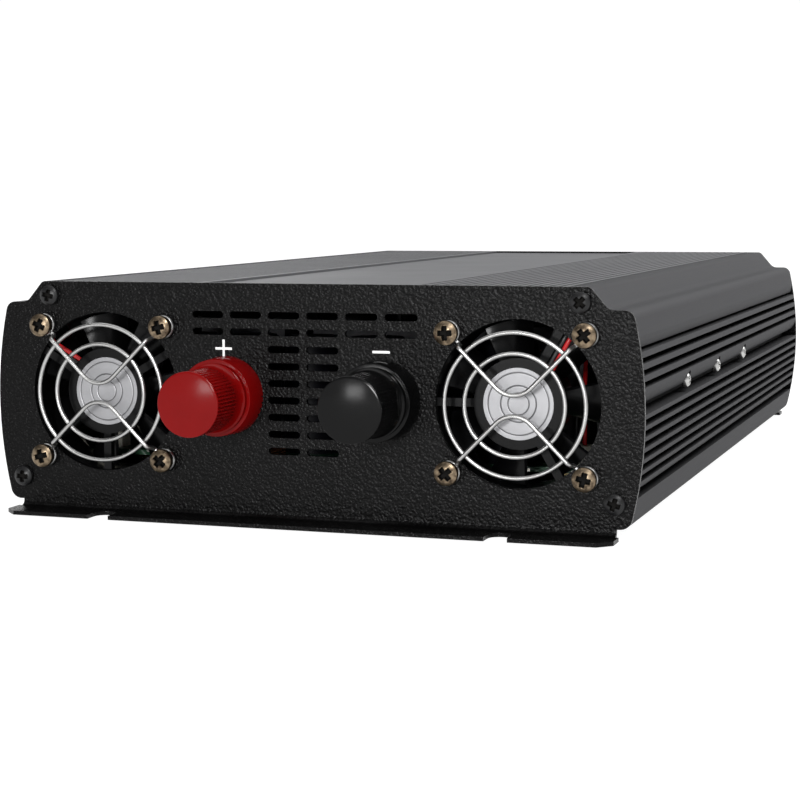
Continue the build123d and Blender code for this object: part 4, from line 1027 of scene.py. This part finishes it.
@dataclass
class TerminalBase:
    """Tapered base of a battery terminal, heights from the plate in millimetres."""

    foot_radius: float = 11.7
    rim_radius: float = 11.3
    height: float = 8.8
    recess_radius: float = 8.1
    recess_floor: float = 6.5
    bore_radius: float = 4.2
    boss_radius: float = 6.5
    boss_depth: float = 1.2
    cap_stand: float = 9.3
    edge: float = 0.18
    notches: int = 4
    notch_spread: float = 9.0
    notch_middle: float = -14.0
    notch_depth: float = 0.35
    notch_height: float = 0.8
    notch_fade: float = 0.1
    notch_share: float = 0.16
    sides: int = 360

    def wall(self, height: float) -> float:
        """Radius of the tapered wall at a height."""
        return self.foot_radius + (self.rim_radius - self.foot_radius) * height / self.height

    def notched(self, height: float, depth: float) -> Ring:
        """Ring of the foot, with a few small notches on each side."""

        def radius(angle: float) -> float:
            """Radius of the foot at an angle."""
            side = math.degrees(math.asin(math.sin(angle)))
            step = (side - self.notch_middle) / self.notch_spread + self.notches / 2
            inside = 0.0 <= step < self.notches and abs(step % 1.0 - 0.5) < self.notch_share
            return self.wall(height) - (depth if inside else 0.0)

        return ring(radius, height, self.sides)

    def add_to(self, piece: Piece, place: Matrix) -> None:
        """Build the base in a frame on the plate, z outward."""
        under = [
            (self.bore_radius, -self.boss_depth),
            (self.boss_radius, -self.boss_depth),
            (self.boss_radius, 0.0),
        ]
        foot = [
            self.notched(0.0, self.notch_depth),
            self.notched(self.notch_height, self.notch_depth),
            self.notched(self.notch_height + self.notch_fade, 0.0),
        ]
        corner = (self.wall(self.height) - self.edge, self.height - self.edge)
        over = [
            (self.wall(corner[1]), corner[1]),
            *arc(corner, self.edge, start=5, end=90, steps=4),
            (self.recess_radius + self.edge, self.height),
            (self.recess_radius, self.height - self.edge),
            (self.recess_radius, self.recess_floor),
            (self.bore_radius, self.recess_floor),
        ]
        lower, upper = ([circle(*spot, self.sides) for spot in part] for part in (under, over))
        piece.loft([*lower, *foot, *upper], place, wrap=True)


@dataclass
class PolaritySign:
    """Printed plus or minus above a terminal."""

    shift: float
    rise: float = 13.87
    length: float = 5.3
    stroke: float = 0.72
    film: Pair = (0.005, 0.04)

    def build(self, pole: Pole, centre: Vector) -> None:
        """Print the sign on the plate above a terminal's centre."""
        piece = Piece(f"{pole.name.lower()}_sign")
        place = seat(centre + Vector((self.shift, 0.0, self.rise)) * MM, Facing.FRONT)
        half, bar = self.length / 2, self.stroke / 2
        outline = [(-half, -bar), (half, -bar), (half, bar), (-half, bar)]
        if pole is Pole.POSITIVE:
            arm = [(-half, -bar), (-bar, -bar), (-bar, -half)]
            quarters = (Matrix.Rotation(math.radians(90 * i), 2) for i in range(4))
            outline = [tuple(turned @ Vector(spot)) for turned in quarters for spot in arm]
        piece.plate(outline, *self.film, place)
        piece.dress("polarity_paint", "case")


@dataclass
class Terminal:
    """One battery terminal: base, cap, stud and sign."""

    pole: Pole
    sign: PolaritySign
    cap: ScrewCap = field(default_factory=ScrewCap)
    base: TerminalBase = field(default_factory=TerminalBase)

    def build(self) -> None:
        """Build the terminal's pieces."""
        name = self.pole.name.lower()
        slot = "terminal_red" if self.pole is Pole.POSITIVE else "terminal_black"
        ThreadedStud(f"{name}_terminal_stud", Facing.FRONT, 4.0, 1.25, Band(14.6, 17.2, 8.0)).build()
        cap_node, base_node = f"{name}_terminal_cap", f"{name}_terminal_base"
        low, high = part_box(cap_node)
        cap = Piece(f"{name}_cap")
        self.cap.add_to(cap, back_seat(low, high))
        cap.dress(slot, f"{name}_cap", [cap_node], 34.0)
        axis = (low + high) / 2
        plate_point = Vector((axis.x, high.y + self.base.cap_stand * MM, axis.z))
        base = Piece(f"{name}_base")
        self.base.add_to(base, seat(plate_point, Facing.FRONT))
        base.dress(slot, "case", [base_node], 34.0)
        self.sign.build(self.pole, plate_point)


# ---- fans


@dataclass
class FanLabel:
    """Foil disc on a fan's motor, pressed with rings."""

    radius: float = 10.25
    thickness: float = 0.3
    rings: tuple[float, ...] = (3.1, 5.2, 8.9)
    ring_width: float = 0.24
    press: float = 0.12
    mark_share: float = 0.4
    steps: int = 90
    sides: int = 96

    def height(self, radius: float) -> float:
        """Face of the disc at a radius."""
        ridge = max(0.0, *(1 - abs(radius - r) / self.ring_width for r in self.rings))
        return self.thickness - self.press * ridge

    def build(self) -> None:
        """Build both discs as one piece."""
        piece = Piece("fan_label_discs")
        radii = [self.radius * (1 - i / self.steps) for i in range(self.steps)]
        profile = [(self.radius, 0.0)] + [(r, self.height(r)) for r in radii]
        pressed = self.thickness - self.press * self.mark_share
        for box in solids("fan_labels"):
            place = back_seat(*box)
            first = len(piece.mesh.faces)
            piece.lathe(profile, place, self.sides)
            piece.mark(first, place, lambda spot: spot.z < pressed)
        piece.dress("label_foil", "case", ["fan_labels"], 50.0, ["label_ring"])


@dataclass
class WireGuard:
    """Finger guard of round wire, in millimetres."""

    wire: float = 0.65
    outer: float = 20.5
    inner: float = 14.6
    standoff: float = 3.1
    sink: float = 0.15
    reach: float = 20.0
    eyelet: float = 2.9
    head: float = 3.5
    apex_bend: float = 7.0
    foot_bend: float = 1.1
    bead: float = 0.62
    bead_waist: float = 0.12
    bead_rise: float = 0.8
    ring_points: int = 128
    eyelet_points: int = 40
    bead_points: int = 16

    def spoke(self, up: int) -> list[Vector]:
        """Path of the upper or lower spoke wire, in the fan's frame."""
        foot = self.reach - self.eyelet * DIAGONAL
        heel = self.reach - (self.head + 2 * self.wire) * DIAGONAL
        knee = heel - self.wire
        over = self.standoff + 2 * self.wire - self.sink
        half = [(-foot, self.wire), (-heel, self.wire), (-knee, over)]
        left = [Vector((x, -x * up, z)) for x, z in half]
        right = [Vector((-p.x, p.y, p.z)) for p in reversed(left)]
        corners = [*left, Vector((0.0, 0.0, over)), *right]
        bends = [self.foot_bend, self.foot_bend, self.apex_bend, self.foot_bend, self.foot_bend]
        return smooth_path(corners, bends)

    def build(self, side: str) -> None:
        """Build the guard of one fan."""
        node = f"{side}_fan_guard"
        place = back_seat(*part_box(node))
        piece = Piece(f"{side}_guard_wires")
        eyelet = circle(self.eyelet, self.wire, self.eyelet_points)
        for radius in (self.outer, self.inner):
            piece.wire(circle(radius, self.standoff, self.ring_points), self.wire, place, closed=True)
        for up in (-1, 1):
            piece.wire(self.spoke(up), self.wire, place)
            for across in (-1, 1):
                around = Matrix.Translation((across * self.reach, up * self.reach, 0.0))
                piece.wire(eyelet, self.wire, place @ around, closed=True)
        piece.dress("guard_wire", "case", [node], 60.0)
        self.weld(side, place)

    def weld(self, side: str, place: Matrix) -> None:
        """Put a bead where each spoke crosses a ring."""
        welds = Piece(f"{side}_guard_welds")
        curve = arc((0.0, 0.0), self.bead, start=-70, end=70, steps=8)
        profile = [(radius + self.bead_waist, rise) for radius, rise in curve]
        height = self.standoff + self.wire * self.bead_rise
        for up, radius, across in itertools.product((-1, 1), (self.outer, self.inner), (-1, 1)):
            spot = radius * DIAGONAL
            bead = Matrix.Translation((across * spot, up * spot, height))
            welds.lathe(profile, place @ bead, self.bead_points)
        welds.dress("dark_steel", "case", (), 60.0)


# ---- carried-over nodes


def paint_carried() -> None:
    """Give every CAD node the material of its slot, so that those carried over show it."""
    slots = {entry["node"]: entry["material_slot"] for entry in frame["record"]["subparts"]}
    for name, made in frame["nodes"].items():
        made.data.materials.clear()
        made.data.materials.append(material(slots[name]))
        if not made.hide_render:
            log.info("%s: carried over in %s", name, slots[name])


# ---- studio


@dataclass
class SoftBox:
    """One soft light."""

    name: str
    place: Triple
    aim: Triple
    size: Pair
    power: float

    def build(self) -> None:
        """Hang the light."""
        lamp = bpy.data.lights.new(self.name, "AREA")
        lamp.shape = "RECTANGLE"
        lamp.size, lamp.size_y = self.size
        lamp.energy = self.power
        made = linked(self.name, lamp)
        made.location = self.place
        toward = Vector(self.aim) - Vector(self.place)
        made.rotation_mode = "QUATERNION"
        made.rotation_quaternion = toward.to_track_quat("-Z", "Y")


@dataclass
class Camera:
    """The scene's camera, its place in metres and its angles in degrees."""

    place: Triple = (0.20861, -0.68627, 0.09626)
    heading: float = 19.754832
    tilt: float = -3.773626
    roll: float = -0.324719
    lens: float = 87.57
    sensor: float = 36.0
    shift: Pair = (0.0426, -0.0966)

    def build(self) -> None:
        """Make the scene's camera."""
        data = bpy.data.cameras.new("camera")
        data.sensor_width = self.sensor
        data.lens = self.lens
        data.shift_x, data.shift_y = self.shift
        data.clip_start, data.clip_end = 0.01, 20.0
        made = linked("camera", data)
        made.matrix_world = Matrix.Translation(self.place)
        for angle, axis in ((self.heading, "Z"), (90.0 + self.tilt, "X"), (self.roll, "Z")):
            made.matrix_world @= Matrix.Rotation(math.radians(angle), 4, axis)
        bpy.context.scene.camera = made


@dataclass
class Studio:
    """Floor, lights and white surroundings."""

    reach: float = 40.0
    drop: float = 0.0005
    world: float = 1.02
    band: float = 0.16
    dome: float = 0.1
    lights: list[SoftBox] = field(
        default_factory=lambda: [
            SoftBox("overhead", (-0.1, 0.25, 1.6), (0.0, 0.0, 0.0), (2.6, 2.6), 32.0),
            SoftBox("key", (0.9, 0.85, 1.2), (0.1, 0.0, 0.06), (0.8, 0.8), 44.0),
            SoftBox("glint", (-0.46, -1.72, 0.07), (0.0, -0.16, 0.04), (0.2, 0.13), 1.3),
            SoftBox("grazer", (0.02, -1.75, 0.3), (0.1, -0.16, 0.06), (0.3, 0.25), 13.0),
            SoftBox("corner", (0.55, -1.25, 0.95), (0.08, -0.16, 0.06), (0.3, 0.3), 9.0),
            SoftBox("rim", (-1.2, 1.7, 0.6), (-0.06, 0.0, 0.08), (1.0, 0.6), 1.2),
        ]
    )

    def build(self) -> None:
        """Lay the floor, whiten the surroundings and hang the lights."""
        self.lay_floor()
        self.surround()
        for light in self.lights:
            light.build()

    def lay_floor(self) -> None:
        """Lay a floor just under the part."""
        floor = Piece("studio_floor")
        half = self.reach
        corners = ((-half, -half), (half, -half), (half, half), (-half, half))
        vertices = [floor.mesh.verts.new((x, y, -self.drop)) for x, y in corners]
        floor.mesh.faces.new(vertices)
        floor.finish([Paper().build("studio_paper")])

    def surround(self) -> None:
        """Make surroundings that are white low down and dim overhead."""
        world = bpy.data.worlds.new("surroundings")
        world.use_nodes = True
        graph = Graph(world.node_tree)
        where = graph.node("TexCoord").outputs["Generated"]
        height = Signal(graph, graph.node("SeparateXYZ", inputs={0: where}).outputs["Z"])
        rise = height.above(self.band, self.band)
        sky = graph.blend(rise, (1.0, 1.0, 1.0), (self.dome, self.dome, self.dome))
        glow = graph.node("Background", inputs={"Color": sky, "Strength": self.world})
        graph.node("OutputWorld", inputs={"Surface": glow.outputs[0]})
        bpy.context.scene.world = world
        bpy.context.scene.view_settings.view_transform = "Standard"


def main() -> None:
    """Build and dress everything in order."""
    logging.basicConfig(level=logging.INFO, format="%(name)s: %(message)s")
    paint_carried()
    plate_head = PanHead(head_radius=3.05, head_height=2.1, shank_radius=1.45, length=12.0)
    fan_head = PanHead(head_radius=3.5, head_height=2.5, shank_radius=1.9, length=23.2)
    clamp_head = PanHead(head_radius=2.3, head_height=2.4, shank_radius=1.4, length=15.0)
    ScrewSet("fan_screws", fan_head, "bronzed_steel").build()
    for end in ("front", "rear"):
        ScrewSet(f"{end}_plate_screws", plate_head, "black_steel").build()
    ScrewSet("side_clamp_screws", clamp_head, "bright_steel", sideways=True).build()
    Terminal(Pole.POSITIVE, PolaritySign(shift=-0.78)).build()
    Terminal(Pole.NEGATIVE, PolaritySign(shift=-0.2)).build()
    ThreadedStud("ground_stud", Facing.REAR, 2.5, 0.8, Band(7.0, 7.6, 2.1), bevel=0.5).build()
    FanLabel().build()
    for side in ("left", "right"):
        WireGuard().build(side)
    Studio().build()
    Camera().build()


if __name__ == "__main__":
    main()
